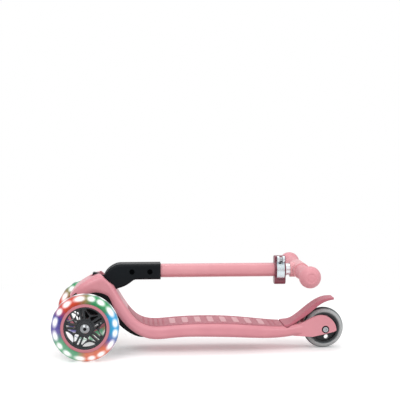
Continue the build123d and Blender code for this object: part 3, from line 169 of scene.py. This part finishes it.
def moulding_group():
    """Moulded surface: fine speckle, slow cloud, edges marked for wear and a painted highlight, and a normal
    with rounded edges and grain.
    """
    group = bpy.data.node_groups.new("moulded_surface", "ShaderNodeTree")
    for name in ("Grain scale", "Grain depth", "Edge radius"):
        group.interface.new_socket(name, in_out="INPUT", socket_type="NodeSocketFloat")
    for name in ("Speckle", "Cloud", "Worn edge and sheen"):
        group.interface.new_socket(name, in_out="OUTPUT", socket_type="NodeSocketFloat")
    group.interface.new_socket("Normal", in_out="OUTPUT", socket_type="NodeSocketVector")
    given = add(group, "NodeGroupInput")
    result = add(group, "NodeGroupOutput")
    here = spot(group)
    speckle = noise(group, here, given.outputs["Grain scale"], 3)
    cloud = noise(group, here, CLOUD_SCALE, 2)
    soft_edge = add(group, "ShaderNodeBevel", samples=4)
    feed(group, soft_edge.inputs["Radius"], given.outputs["Edge radius"])
    flat = add(group, "ShaderNodeNewGeometry").outputs["Normal"]
    turn = add(group, "ShaderNodeVectorMath", operation="DOT_PRODUCT")
    feed(group, turn.inputs[0], soft_edge.outputs["Normal"])
    feed(group, turn.inputs[1], flat)
    # Edge mask: partly wear, partly a painted highlight where edges catch the light.
    worn_and_sheen = calc(group, "MULTIPLY", step(group, turn.outputs["Value"], *EDGE_WEAR_AND_SHEEN_TURN, 1.0, 0.0), cloud)
    feed(group, result.inputs["Speckle"], speckle)
    feed(group, result.inputs["Cloud"], cloud)
    feed(group, result.inputs["Worn edge and sheen"], worn_and_sheen)
    relief = bumped(group, speckle, given.outputs["Grain depth"], GRAIN_RELIEF, soft_edge.outputs["Normal"])
    feed(group, result.inputs["Normal"], relief)
    return group


def brushing_group():
    """Drawn metal: fine lines along one direction and the small relief that they leave."""
    group = bpy.data.node_groups.new("drawn_lines", "ShaderNodeTree")
    group.interface.new_socket("Stretch", in_out="INPUT", socket_type="NodeSocketVector")
    group.interface.new_socket("Lines", in_out="OUTPUT", socket_type="NodeSocketFloat")
    group.interface.new_socket("Normal", in_out="OUTPUT", socket_type="NodeSocketVector")
    given = add(group, "NodeGroupInput")
    result = add(group, "NodeGroupOutput")
    stretched = add(group, "ShaderNodeVectorMath", operation="MULTIPLY")
    feed(group, stretched.inputs[0], spot(group))
    feed(group, stretched.inputs[1], given.outputs["Stretch"])
    lines = step(group, noise(group, stretched.outputs[0], LINE_SCALE, 4), *LINE_SPREAD)
    feed(group, result.inputs["Lines"], lines)
    feed(group, result.inputs["Normal"], bumped(group, lines, LINE_STRENGTH, LINE_RELIEF))
    return group


MOULDING = moulding_group()
BRUSHING = brushing_group()


def moulding_in(tree, scale, depth, edge):
    """The moulded surface, placed in a material with its own values."""
    node = add(tree, "ShaderNodeGroup", node_tree=MOULDING)
    node.inputs["Grain scale"].default_value = scale
    node.inputs["Grain depth"].default_value = depth
    node.inputs["Edge radius"].default_value = edge
    return node.outputs


# Finishes

EDGE = 0.5 * MM
CLOUD_SPREAD = (0.35, 0.75)
SPECKLE_SPREAD = (0.3, 0.7)
COAT_ROUGHNESS = 0.15


def moulded(name, colour, shade, edge_wear_and_sheen, roughness, scale=2400, depth=0.12, coat=0.0, shine=0.5):
    """Moulded plastic or rubber: a slow drift of colour, grain in its gloss, and edges lightened partly by
    wear and partly as a painted highlight.
    """
    material, tree, shader = finish(name)
    surface = moulding_in(tree, scale, depth, EDGE)
    drift = mix(tree, step(tree, surface["Cloud"], *CLOUD_SPREAD), colour, shade)
    # Edges lighten partly as wear and partly as a painted highlight.
    feed(tree, shader.inputs["Base Color"], mix(tree, surface["Worn edge and sheen"], drift, edge_wear_and_sheen))
    feed(tree, shader.inputs["Roughness"],
         step(tree, surface["Speckle"], *SPECKLE_SPREAD, roughness - 0.05, roughness + 0.07))
    feed(tree, shader.inputs["Normal"], surface["Normal"])
    shader.inputs["Specular IOR Level"].default_value = shine
    shader.inputs["Coat Weight"].default_value = coat
    shader.inputs["Coat Roughness"].default_value = COAT_ROUGHNESS
    return material


def drawn(name, colour, shade, roughness, stretch):
    """Metal with fine lines drawn along one direction."""
    material, tree, shader = finish(name)
    metal = add(tree, "ShaderNodeGroup", node_tree=BRUSHING)
    metal.inputs["Stretch"].default_value = stretch
    lines = metal.outputs["Lines"]
    feed(tree, shader.inputs["Base Color"], mix(tree, lines, colour, shade))
    feed(tree, shader.inputs["Roughness"], step(tree, lines, 0, 1, roughness - 0.06, roughness + 0.08))
    feed(tree, shader.inputs["Normal"], metal.outputs["Normal"])
    shader.inputs["Metallic"].default_value = 1.0
    return material


SOCKET_SHADE_FADE = (2.6 * MM, 3.25 * MM)
FLANGE_FADE = (8.2 * MM, 9.2 * MM)
CAP_STRETCH = (3, 1, 3)
CAP_PLATE = srgb(160, 163, 165)
CAP_SHADE = srgb(126, 129, 132)
CAP_FLANGE = srgb(58, 61, 64)
CAP_SOCKET_SHADE = srgb(24, 25, 27)


def axle_cap(name, axle):
    """Plated cap with painted shade for the socket in its middle, and a dark flange."""
    material, tree, shader = finish(name)
    back, _, up = axes_from(tree, axle)
    from_axle = reach(tree, back, up)
    metal = add(tree, "ShaderNodeGroup", node_tree=BRUSHING)
    metal.inputs["Stretch"].default_value = CAP_STRETCH
    plate = mix(tree, metal.outputs["Lines"], CAP_PLATE, CAP_SHADE)
    flanged = mix(tree, step(tree, from_axle, *FLANGE_FADE), plate, CAP_FLANGE)
    # Painted shade in the middle stands in for the socket's hollow.
    outside_socket_shade = step(tree, from_axle, *SOCKET_SHADE_FADE)
    feed(tree, shader.inputs["Base Color"], mix(tree, outside_socket_shade, CAP_SOCKET_SHADE, flanged))
    feed(tree, shader.inputs["Roughness"], step(tree, outside_socket_shade, 0, 1, 0.6, 0.24))
    feed(tree, shader.inputs["Normal"], metal.outputs["Normal"])
    shader.inputs["Metallic"].default_value = 0.9
    return material


# Colours that the lights in the front wheels throw into their clear tyres
SKY = (62, 184, 240)
LEAF = (52, 170, 100)
FLAME = (232, 80, 50)
INDIGO = (58, 62, 168)
VIOLET = (122, 108, 184)
MINT = (112, 190, 142)
CORAL = (246, 132, 98)

# Where each colour lies round a wheel, in degrees from straight back, upwards
GLOW = (
    (0, SKY), (24, SKY), (40, LEAF), (74, LEAF), (108, FLAME), (136, FLAME), (158, INDIGO), (188, VIOLET),
    (207, MINT), (252, MINT), (272, CORAL), (314, CORAL), (333, VIOLET), (352, SKY),
)
LIGHT_CELLS = 16
CELL_RING_R = 53.2 * MM
CELL_HALF = 4.4 * MM
TYRE_RIM_SHADE_R = (43 * MM, 52 * MM)
TYRE_EDGE_R = (57 * MM, 60 * MM)
CELL_PINCH = 2.5
CELL_SWAY = 0.12
CELL_SWAYS = 5
WALL_CELL_FADE = (0.2, 1.45)
TREAD_CELL_FADE = (0.5, 1.2)
TREAD_CELL_LIGHT = 0.8
TREAD_CELL_HALF = 1.3 * CELL_HALF
HAZE_SCALE = 160
HAZE_SPREAD = (0.35, 0.7)
CLEAR = srgb(150, 158, 172)
RIM_GLOW_SHADE = srgb(16, 18, 30)
BLACK = srgb(0, 0, 0)
LIT_WHITE = srgb(250, 252, 253)
PURE_WHITE = srgb(255, 255, 255)
GLOW_STRENGTH = 0.44
TYRE_SHINE = 0.25
TYRE_IOR = 1.4


def lit_tyre(name, axle, lead):
    """Clear tyre lit from inside: colour by angle, a ring of white light cells and a clear outer edge."""
    material, tree, shader = finish(name)
    back, across, up = axes_from(tree, axle)
    angle = calc(tree, "DIVIDE", calc(tree, "ARCTAN2", up, back), 2 * math.pi)
    turn = calc(tree, "FRACT", calc(tree, "SUBTRACT", angle, lead / 360))
    radius = reach(tree, back, up)
    # Colour round the wheel
    hues = add(tree, "ShaderNodeValToRGB")
    stops = hues.color_ramp.elements
    while len(stops) < len(GLOW):
        stops.new(1.0)
    for stop, (degrees, screen) in zip(stops, GLOW):
        stop.position = degrees / 360
        stop.color = srgb(*screen)
    feed(tree, hues.inputs[0], turn)
    hue = hues.outputs["Color"]
    # Light cells, a little unevenly spaced
    swing = calc(tree, "SINE", calc(tree, "MULTIPLY", turn, 2 * math.pi * CELL_SWAYS))
    sway = calc(tree, "MULTIPLY", swing, CELL_SWAY)
    cell = calc(tree, "FRACT", calc(tree, "ADD", calc(tree, "MULTIPLY", turn, LIGHT_CELLS), sway))
    aside = calc(tree, "MULTIPLY", calc(tree, "SUBTRACT", cell, 0.5), CELL_PINCH)
    outward = calc(tree, "DIVIDE", calc(tree, "SUBTRACT", radius, CELL_RING_R), CELL_HALF)
    on_wall = step(tree, reach(tree, aside, outward), *WALL_CELL_FADE, 1.0, 0.0)
    sideways = calc(tree, "DIVIDE", across, TREAD_CELL_HALF)
    tread_cell = step(tree, reach(tree, aside, sideways), *TREAD_CELL_FADE, TREAD_CELL_LIGHT, 0.0)
    on_tread = calc(tree, "MULTIPLY", tread_cell, step(tree, radius, *TYRE_EDGE_R))
    hot = calc(tree, "MAXIMUM", on_wall, on_tread)
    # Wall colour, clearer at the edge, with painted shade deepening it towards the rim
    edge = step(tree, radius, *TYRE_EDGE_R, 0.0, 0.7)
    haze = step(tree, noise(tree, spot(tree), HAZE_SCALE, 2), *HAZE_SPREAD, 0.0, 0.16)
    glow_rim_shaded = mix(tree, step(tree, radius, *TYRE_RIM_SHADE_R, 0.3, 0.0), hue, RIM_GLOW_SHADE)
    wall = mix(tree, calc(tree, "MAXIMUM", edge, haze), glow_rim_shaded, CLEAR)
    shaded = mix(tree, 0.5, wall, BLACK)
    feed(tree, shader.inputs["Base Color"], mix(tree, hot, shaded, LIT_WHITE))
    feed(tree, shader.inputs["Emission Color"], mix(tree, hot, wall, PURE_WHITE))
    shader.inputs["Emission Strength"].default_value = GLOW_STRENGTH
    shader.inputs["Roughness"].default_value = 0.2
    shader.inputs["Specular IOR Level"].default_value = TYRE_SHINE
    shader.inputs["Transmission Weight"].default_value = 0.06
    shader.inputs["IOR"].default_value = TYRE_IOR
    return material


REAR_RIM_SHADE_FADE = (28 * MM, 31 * MM)
REAR_TREAD_SHADE_FADE = (34.8 * MM, 37 * MM)
SMOKE = srgb(202, 205, 205)
SMOKE_SHADE = srgb(176, 181, 182)
SMOKE_RIM_SHADE = srgb(84, 92, 94)
SMOKE_TREAD_SHADE = srgb(44, 58, 61)


def smoky_tyre(name, axle):
    """Clear grey rear tyre, with painted shade at its rim and painted shade and dark reflection at its
    tread.
    """
    material, tree, shader = finish(name)
    back, _, up = axes_from(tree, axle)
    radius = reach(tree, back, up)
    surface = moulding_in(tree, 1500, 0.04, EDGE)
    wall = mix(tree, surface["Cloud"], SMOKE, SMOKE_SHADE)
    # Painted shade near the rim; painted shade and dark reflection along the tread.
    rim = mix(tree, step(tree, radius, *REAR_RIM_SHADE_FADE), SMOKE_RIM_SHADE, wall)
    tread = step(tree, radius, *REAR_TREAD_SHADE_FADE)
    feed(tree, shader.inputs["Base Color"], mix(tree, tread, rim, SMOKE_TREAD_SHADE))
    feed(tree, shader.inputs["Roughness"], step(tree, surface["Speckle"], *SPECKLE_SPREAD, 0.12, 0.22))
    feed(tree, shader.inputs["Normal"], surface["Normal"])
    shader.inputs["Specular IOR Level"].default_value = TYRE_SHINE
    shader.inputs["Transmission Weight"].default_value = 0.1
    shader.inputs["IOR"].default_value = TYRE_IOR
    return material


HATCH_WAVES = 1700
HATCH_STRENGTH = 0.25
HATCH_RELIEF = 0.4 * MM


def tread_rubber(name, colour, shade):
    """Mat rubber with a fine cross-hatched tread."""
    material, tree, shader = finish(name)
    surface = moulding_in(tree, 3000, 0.2, EDGE)
    back, across, _ = axes_from(tree)
    ways = [calc(tree, way, back, across) for way in ("ADD", "SUBTRACT")]
    waves = [calc(tree, "SINE", calc(tree, "MULTIPLY", way, HATCH_WAVES)) for way in ways]
    hatch = calc(tree, "MAXIMUM", *waves)
    relief = bumped(tree, hatch, HATCH_STRENGTH, HATCH_RELIEF, surface["Normal"])
    feed(tree, shader.inputs["Normal"], relief)
    patchy = step(tree, surface["Cloud"], 0.35, 0.7)
    feed(tree, shader.inputs["Base Color"], mix(tree, patchy, colour, shade))
    feed(tree, shader.inputs["Roughness"], step(tree, hatch, -1, 1, 0.62, 0.5))
    return material


# The third colour of each moulded finish tints its edges: partly wear, partly a painted highlight.
PINK_BODY = moulded("pink_body", srgb(224, 150, 160), srgb(218, 142, 153), srgb(236, 178, 184), 0.4,
                    coat=0.1)
PINK_TUBE = moulded("pink_tube", srgb(224, 154, 161), srgb(219, 147, 155), srgb(236, 180, 186), 0.32,
                    scale=3600, depth=0.05, coat=0.25)
PINK_TEE = moulded("pink_tee", srgb(234, 170, 175), srgb(228, 162, 168), srgb(242, 192, 195), 0.4)
PINK_GRIP = moulded("pink_grip", srgb(226, 156, 164), srgb(220, 148, 157), srgb(236, 180, 186), 0.46,
                    scale=3000, depth=0.2)
PINK_RIM = moulded("pink_rim", srgb(204, 128, 139), srgb(196, 120, 131), srgb(216, 150, 158), 0.42)
PALE_BAR = moulded("pale_bar", srgb(222, 172, 178), srgb(216, 164, 171), srgb(230, 186, 191), 0.55,
                   depth=0.15)
ROSE_BRAKE = moulded("rose_brake", srgb(190, 108, 123), srgb(182, 100, 115), srgb(204, 130, 143), 0.5,
                     depth=0.15)
WINE_COLLAR = moulded("wine_collar", srgb(128, 52, 70), srgb(116, 44, 62), srgb(160, 84, 100), 0.34,
                      coat=0.3)
BLACK_KNUCKLE = moulded("black_knuckle", srgb(16, 21, 25), srgb(11, 15, 19), srgb(44, 49, 54), 0.42,
                        scale=1800, depth=0.2, shine=0.12)
BLACK_LINER = moulded("black_liner", srgb(18, 19, 20), srgb(13, 14, 15), srgb(36, 37, 39), 0.5, scale=1800,
                      shine=0.12)
# Its pale edge tint is mostly a painted highlight along the spoke edges.
GREY_SPOKES = moulded("grey_spokes", srgb(46, 49, 52), srgb(36, 39, 42), srgb(132, 137, 142), 0.3,
                      scale=1800, depth=0.1, shine=0.3)
BLACK_BUSH = moulded("black_bush", srgb(26, 26, 27), srgb(20, 20, 21), srgb(44, 44, 45), 0.7, depth=0.3)
LIGHT_BAND = moulded("light_band", srgb(235, 238, 242), srgb(220, 225, 232), srgb(245, 247, 250), 0.3)
ROSE_TREAD = tread_rubber("rose_tread", srgb(188, 114, 126), srgb(180, 106, 118))
STEEL = drawn("plated_steel", srgb(172, 174, 178), srgb(146, 149, 153), 0.3, (1, 12, 1))
BLACK_STEEL = drawn("black_steel", srgb(8, 9, 11), srgb(5, 6, 7), 0.34, (1, 12, 1))
TUBE_ALLOY = drawn("tube_alloy", srgb(232, 232, 235), srgb(212, 212, 216), 0.3, (12, 1, 1))
LEVER_METAL = drawn("lever_metal", srgb(214, 224, 228), srgb(190, 202, 207), 0.24, (1, 12, 12))
FRONT_CAP = axle_cap("front_cap", middle("axle_shaft"))
SMOKY_TYRE = smoky_tyre("smoky_tyre", middle("rear_tyre"))

# How far the right wheel's colours stand turned from the left one's, degrees
RIGHT_LEAD = 50
LIT_TYRES = {
    "left": lit_tyre("lit_tyre_left", middle("front_tyre_left"), 0),
    "right": lit_tyre("lit_tyre_right", middle("front_tyre_right"), RIGHT_LEAD),
}

# Which nodes wear which finish; the others are plated steel
WORN_BY = (
    (PINK_BODY, ("deck_body",)),
    (PINK_TEE, ("bar_tee",)),
    (PINK_TUBE, ("stem_tube",)),
    (PINK_GRIP, ("grip_left", "grip_right")),
    (PINK_RIM, ("front_rim_left", "front_rim_right")),
    (ROSE_TREAD, ("tread_mat",)),
    (ROSE_BRAKE, ("brake_fender",)),
    (WINE_COLLAR, ("clamp_collar",)),
    (BLACK_KNUCKLE, ("hinge_shell_left", "hinge_shell_right", "lock_button")),
    (BLACK_LINER, ("arch_liner", "axle_beam", "tube_guide")),
    (GREY_SPOKES, ("front_core_left", "front_core_right", "rear_core", "front_bearings_left",
                   "front_bearings_right", "rear_bearings")),
    (BLACK_BUSH, ("steering_bush",)),
    (LIGHT_BAND, ("front_lights_left", "front_lights_right")),
    (BLACK_STEEL, ("shell_bolts", "shell_nuts", "rear_washers")),
    (TUBE_ALLOY, ("inner_tube", "cross_bar", "axle_sleeves", "rear_spacers", "rear_sleeve",
                  "front_sleeve_left", "front_sleeve_right")),
    (LEVER_METAL, ("clamp_lever",)),
    (FRONT_CAP, ("axle_bolts",)),
    (SMOKY_TYRE, ("rear_tyre",)),
    (LIT_TYRES["left"], ("front_tyre_left",)),
    (LIT_TYRES["right"], ("front_tyre_right",)),
)


def wear(piece, material):
    """Gives every face of an object one finish."""
    piece.data.materials.clear()
    piece.data.materials.append(material)


for node_object in nodes.values():
    wear(node_object, STEEL)
for material, names in WORN_BY:
    for node_name in names:
        wear(nodes[node_name], material)


# Ribbed grips with ball ends

BAR_BORE_R = 11.2 * MM
SLEEVE_R = (13.2 * MM, 14.4 * MM)
BALL_FLAT_R = 9 * MM
SLEEVE_SHORT = 13.5 * MM
SLEEVE_EDGE = (0.4 * MM, 0.8 * MM)
RIBS = 14
RIB_DEEP = 0.45 * MM
RIBS_FROM = 6 * MM
RIBS_SHORT = 10 * MM
RIB_SLOPE = 0.7 * MM
RIB_FLOOR = 0.8 * MM
BALL_STEPS = 16
BALL_FROM = -46
BALL_SWEEP = 108
HOLLOW = 0.02 * MM

# Ringed face of the ball end: radius and depth, millimetres
FACE_RING = ((8.4, 0.1), (7.6, 0.7), (6.6, 0.7), (5.8, 0.1), (3.0, 0.05), (0.0, 0.02))


def new_piece(name, mesh, material, body):
    """Object of the scene that rides on a body, with its finish."""
    piece = bpy.data.objects.new(name, mesh)
    bpy.context.scene.collection.objects.link(piece)
    wear(piece, material)
    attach(piece, body)
    return piece


def turned(name, profile, origin, facets=72):
    """Closed mesh turned about +Y through a point, from pairs of radius and distance along it."""
    build = bmesh.new()
    rings = []
    for radius, along in profile:
        angles = [2 * math.pi * facet / facets for facet in range(facets if radius else 1)]
        ring = [(radius * math.cos(a), along, radius * math.sin(a)) for a in angles]
        rings.append([build.verts.new(origin + Vector(point)) for point in ring])
    for low, high in zip(rings, rings[1:]):
        for facet in range(facets):
            after = (facet + 1) % facets
            square = [ring[side % len(ring)] for ring, side in
                      ((low, facet), (low, after), (high, after), (high, facet))]
            build.faces.new(list(dict.fromkeys(square)))
    bmesh.ops.recalc_face_normals(build, faces=build.faces)
    mesh = bpy.data.meshes.new(name)
    build.to_mesh(mesh)
    build.free()
    mesh.shade_smooth()
    return mesh


def grip_profile(length, ball_r):
    """Ribbed sleeve that widens from the tee to a ball end with a shallow ringed face."""
    ball_y = length - math.sqrt(ball_r**2 - BALL_FLAT_R**2)
    sleeve_end = ball_y - SLEEVE_SHORT
    profile = [(0.0, HOLLOW), (BAR_BORE_R, 0.0), (SLEEVE_R[0] - SLEEVE_EDGE[0], 0.0),
               (SLEEVE_R[0], SLEEVE_EDGE[1])]
    for rib in range(RIBS):
        start = RIBS_FROM + (sleeve_end - RIBS_SHORT) * rib / RIBS
        wide = SLEEVE_R[0] + (SLEEVE_R[1] - SLEEVE_R[0]) * rib / RIBS
        sunk_from = start + RIB_SLOPE
        sunk_to = sunk_from + RIB_FLOOR
        profile += [(wide, start), (wide - RIB_DEEP, sunk_from), (wide - RIB_DEEP, sunk_to),
                    (wide, sunk_to + RIB_SLOPE)]
    for part in range(BALL_STEPS + 1):
        turn = math.radians(BALL_FROM + BALL_SWEEP * part / BALL_STEPS)
        profile.append((ball_r * math.cos(turn), ball_y + ball_r * math.sin(turn)))
    for radius, sunk in FACE_RING:
        profile.append((radius * MM, length - sunk * MM))
    return profile


for side, way in (("left", -1), ("right", 1)):
    low, high = corners(f"grip_{side}")
    tee_end = Vector(((low.x + high.x) / 2, high.y if way < 0 else low.y, (low.z + high.z) / 2))
    profile = [(radius, way * along) for radius, along in grip_profile(high.y - low.y, (high.z - low.z) / 2)]
    grip_mesh = turned(f"ribbed_grip_{side}", profile, tee_end)
    grip = new_piece(f"ribbed_grip_{side}", grip_mesh, PINK_GRIP, "handlebar")
    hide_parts(f"grip_{side}")


# Raised bars and pips on the tread mat

ABOVE_MAT = 0.2
BAR_CREASE = 0.45

mat_mesh = nodes["tread_mat"].data
mat_top = BVHTree.FromPolygons([v.co for v in mat_mesh.vertices], [p.vertices for p in mat_mesh.polygons])


def on_mat(x, y):
    """Point and normal of the mat's top over a place in plan, or None beside it."""
    point, normal, _, _ = mat_top.ray_cast(Vector((x, y, ABOVE_MAT)), Vector((0, 0, -1)))
    return (point, normal) if point else None


def raised_bars():
    """Tree that stands one rounded bar on every point, turned to the surface under it."""
    tree = bpy.data.node_groups.new("raised_bars", "GeometryNodeTree")
    tree.interface.new_socket("Points", in_out="INPUT", socket_type="NodeSocketGeometry")
    tree.interface.new_socket("Bar size", in_out="INPUT", socket_type="NodeSocketVector")
    tree.interface.new_socket("Rounding", in_out="INPUT", socket_type="NodeSocketInt")
    tree.interface.new_socket("Finish", in_out="INPUT", socket_type="NodeSocketMaterial")
    tree.interface.new_socket("Bars", in_out="OUTPUT", socket_type="NodeSocketGeometry")
    given = add(tree, "NodeGroupInput")
    result = add(tree, "NodeGroupOutput")
    block = add(tree, "GeometryNodeMeshCube")
    feed(tree, block.inputs["Size"], given.outputs["Bar size"])
    rounded = add(tree, "GeometryNodeSubdivisionSurface")
    feed(tree, rounded.inputs["Mesh"], block.outputs["Mesh"])
    feed(tree, rounded.inputs["Level"], given.outputs["Rounding"])
    rounded.inputs["Edge Crease"].default_value = BAR_CREASE
    surface_up = add(tree, "GeometryNodeInputNamedAttribute", data_type="FLOAT_VECTOR")
    surface_up.inputs["Name"].default_value = "surface_up"
    upright = add(tree, "FunctionNodeAlignRotationToVector", axis="Z")
    feed(tree, upright.inputs["Vector"], surface_up.outputs["Attribute"])
    bars = add(tree, "GeometryNodeInstanceOnPoints")
    feed(tree, bars.inputs["Points"], given.outputs["Points"])
    feed(tree, bars.inputs["Instance"], rounded.outputs["Mesh"])
    feed(tree, bars.inputs["Rotation"], upright.outputs["Rotation"])
    smooth = add(tree, "GeometryNodeSetShadeSmooth")
    feed(tree, smooth.inputs["Geometry"], bars.outputs["Instances"])
    solid = add(tree, "GeometryNodeRealizeInstances")
    feed(tree, solid.inputs["Geometry"], smooth.outputs["Geometry"])
    coated = add(tree, "GeometryNodeSetMaterial")
    feed(tree, coated.inputs["Geometry"], solid.outputs["Geometry"])
    feed(tree, coated.inputs["Material"], given.outputs["Finish"])
    feed(tree, result.inputs["Bars"], coated.outputs["Geometry"])
    return tree


RAISED_BARS = raised_bars()


def raised(name, places, values, body):
    """Piece of equal bars on many places of a surface, made into a plain mesh."""
    seeds = bpy.data.meshes.new(f"{name}_places")
    seeds.from_pydata([point for point, _ in places], [], [])
    normals = seeds.attributes.new("surface_up", "FLOAT_VECTOR", "POINT")
    normals.data.foreach_set("vector", [number for _, normal in places for number in normal])
    holder = bpy.data.objects.new(f"{name}_holder", seeds)
    bpy.context.scene.collection.objects.link(holder)
    repeat = holder.modifiers.new("repeat", "NODES")
    repeat.node_group = RAISED_BARS
    for socket in RAISED_BARS.interface.items_tree:
        if socket.name in values:
            repeat[socket.identifier] = values[socket.name]
    graph = bpy.context.evaluated_depsgraph_get()
    mesh = bpy.data.meshes.new_from_object(holder.evaluated_get(graph), depsgraph=graph)
    bpy.data.objects.remove(holder)
    mesh.name = name
    return new_piece(name, mesh, values["Finish"], body)


DECK_BARS = 8
BAR_FIRST_X = -52 * MM
BAR_STEP = 23.5 * MM
BAR_SIZE = (11 * MM, 52 * MM, 1.6 * MM)
PIP_STEP = 9 * MM
PIP_SIZE = (4.2 * MM, 2.6 * MM, 1.2 * MM)
PIP_MARGIN = 4.5 * MM
PIP_ROWS_FROM = 28 * MM
PIPS_ASIDE = 5

bar_places = [on_mat(BAR_FIRST_X + BAR_STEP * index, 0.0) for index in range(DECK_BARS)]
BAR_VALUES = {"Bar size": BAR_SIZE, "Rounding": 3, "Finish": PALE_BAR}
raised("tread_bars", bar_places, BAR_VALUES, "deck")

mat_low, mat_high = corners("tread_mat")
bars_from = bar_places[0][0].x - BAR_SIZE[0]
bars_to = bar_places[-1][0].x + BAR_SIZE[0]
pip_places = []
for row in range(int((mat_high.x - mat_low.x - PIP_ROWS_FROM) / PIP_STEP) + 1):
    pip_x = mat_low.x + PIP_ROWS_FROM + PIP_STEP * row
    for column in range(-PIPS_ASIDE, PIPS_ASIDE + 1):
        pip_y = (column + 0.5 * (row % 2)) * PIP_STEP
        beside_bars = abs(pip_y) < BAR_SIZE[1] / 2 + PIP_MARGIN and bars_from < pip_x < bars_to
        ends = (-PIP_MARGIN, PIP_MARGIN)
        around = [on_mat(pip_x + end_x, pip_y + end_y) for end_x in ends for end_y in ends]
        if all(around) and not beside_bars:
            pip_places.append(on_mat(pip_x, pip_y))
PIP_VALUES = {"Bar size": PIP_SIZE, "Rounding": 1, "Finish": ROSE_TREAD}
raised("tread_pips", pip_places, PIP_VALUES, "deck")


# Studio

FLOOR_HALF = 6.0
FLOOR_FADE = (0.42, 0.95)
FLOOR_LIFT = 0.2
FLOOR_SEEN = (0.97, 0.97, 0.97, 1)
FLOOR_BOUNCED = (0.46, 0.42, 0.42, 1)
AMBIENT = 0.62
AIM = Vector((0, 0, 0.08))
LAMPS = (
    ("key", (-0.7, -1.5, 1.6), 1.2, 16),
    ("fill", (1.2, -1.2, 0.9), 1.0, 7),
    ("top", (0.1, 0.5, 1.8), 1.4, 8),
)


def seen_rays(tree):
    """One for rays that show the surroundings: straight from the camera, by gloss or through glass."""
    path = add(tree, "ShaderNodeLightPath").outputs
    straight = calc(tree, "MAXIMUM", path["Is Camera Ray"], path["Is Glossy Ray"])
    return calc(tree, "MAXIMUM", straight, path["Is Transmission Ray"])


def surroundings():
    """White surroundings that give a plain soft light."""
    world = bpy.data.worlds.new("studio")
    bpy.context.scene.world = world
    world.use_nodes = True
    tree = world.node_tree
    sky = tree.nodes["Background"]
    sky.inputs["Color"].default_value = (1, 1, 1, 1)
    feed(tree, sky.inputs["Strength"], step(tree, seen_rays(tree), 0, 1, AMBIENT, 1.0))


def floor():
    """White floor that takes the scooter's shadow and fades into the surroundings."""
    build = bmesh.new()
    bmesh.ops.create_grid(build, x_segments=1, y_segments=1, size=FLOOR_HALF)
    mesh = bpy.data.meshes.new("floor")
    build.to_mesh(mesh)
    build.free()
    slab = bpy.data.objects.new("floor", mesh)
    bpy.context.scene.collection.objects.link(slab)
    material, tree, shader = finish("white_floor")
    bounced = add(tree, "ShaderNodeLightPath").outputs["Is Diffuse Ray"]
    feed(tree, shader.inputs["Base Color"], mix(tree, bounced, FLOOR_SEEN, FLOOR_BOUNCED))
    shader.inputs["Emission Color"].default_value = (1, 1, 1, 1)
    shader.inputs["Emission Strength"].default_value = FLOOR_LIFT
    shader.inputs["Roughness"].default_value = 0.9
    shader.inputs["Specular IOR Level"].default_value = 0.1
    back, across, _ = axes_from(tree)
    far = step(tree, reach(tree, back, across), *FLOOR_FADE)
    white = add(tree, "ShaderNodeEmission")
    blend = add(tree, "ShaderNodeMixShader")
    feed(tree, blend.inputs[0], calc(tree, "MULTIPLY", far, seen_rays(tree)))
    feed(tree, blend.inputs[1], shader.outputs[0])
    feed(tree, blend.inputs[2], white.outputs[0])
    feed(tree, tree.nodes["Material Output"].inputs["Surface"], blend.outputs[0])
    wear(slab, material)


def lamp(name, place, size, power):
    """Soft square lamp that points at the scooter's middle."""
    light = bpy.data.lights.new(name, "AREA")
    light.size = size
    light.energy = power
    holder = bpy.data.objects.new(name, light)
    bpy.context.scene.collection.objects.link(holder)
    holder.location = place
    aim = AIM - Vector(place)
    holder.rotation_euler = aim.to_track_quat("-Z", "Y").to_euler()


CAMERA_PLACE = (-0.1372, -1.9, 0.3892)
CAMERA_TURN = -4.13
CAMERA_TILT = 3.354
CAMERA_LENS = 92.87
SENSOR_WIDE = 36


def camera():
    """Camera at the photograph's place."""
    lens = bpy.data.cameras.new("camera")
    lens.lens = CAMERA_LENS
    lens.sensor_width = SENSOR_WIDE
    holder = bpy.data.objects.new("camera", lens)
    bpy.context.scene.collection.objects.link(holder)
    holder.location = CAMERA_PLACE
    holder.rotation_euler = (math.radians(90 - CAMERA_TILT), 0, math.radians(CAMERA_TURN))
    bpy.context.scene.camera = holder


bpy.context.scene.view_settings.view_transform = "Standard"
surroundings()
floor()
for lamp_values in LAMPS:
    lamp(*lamp_values)
camera()
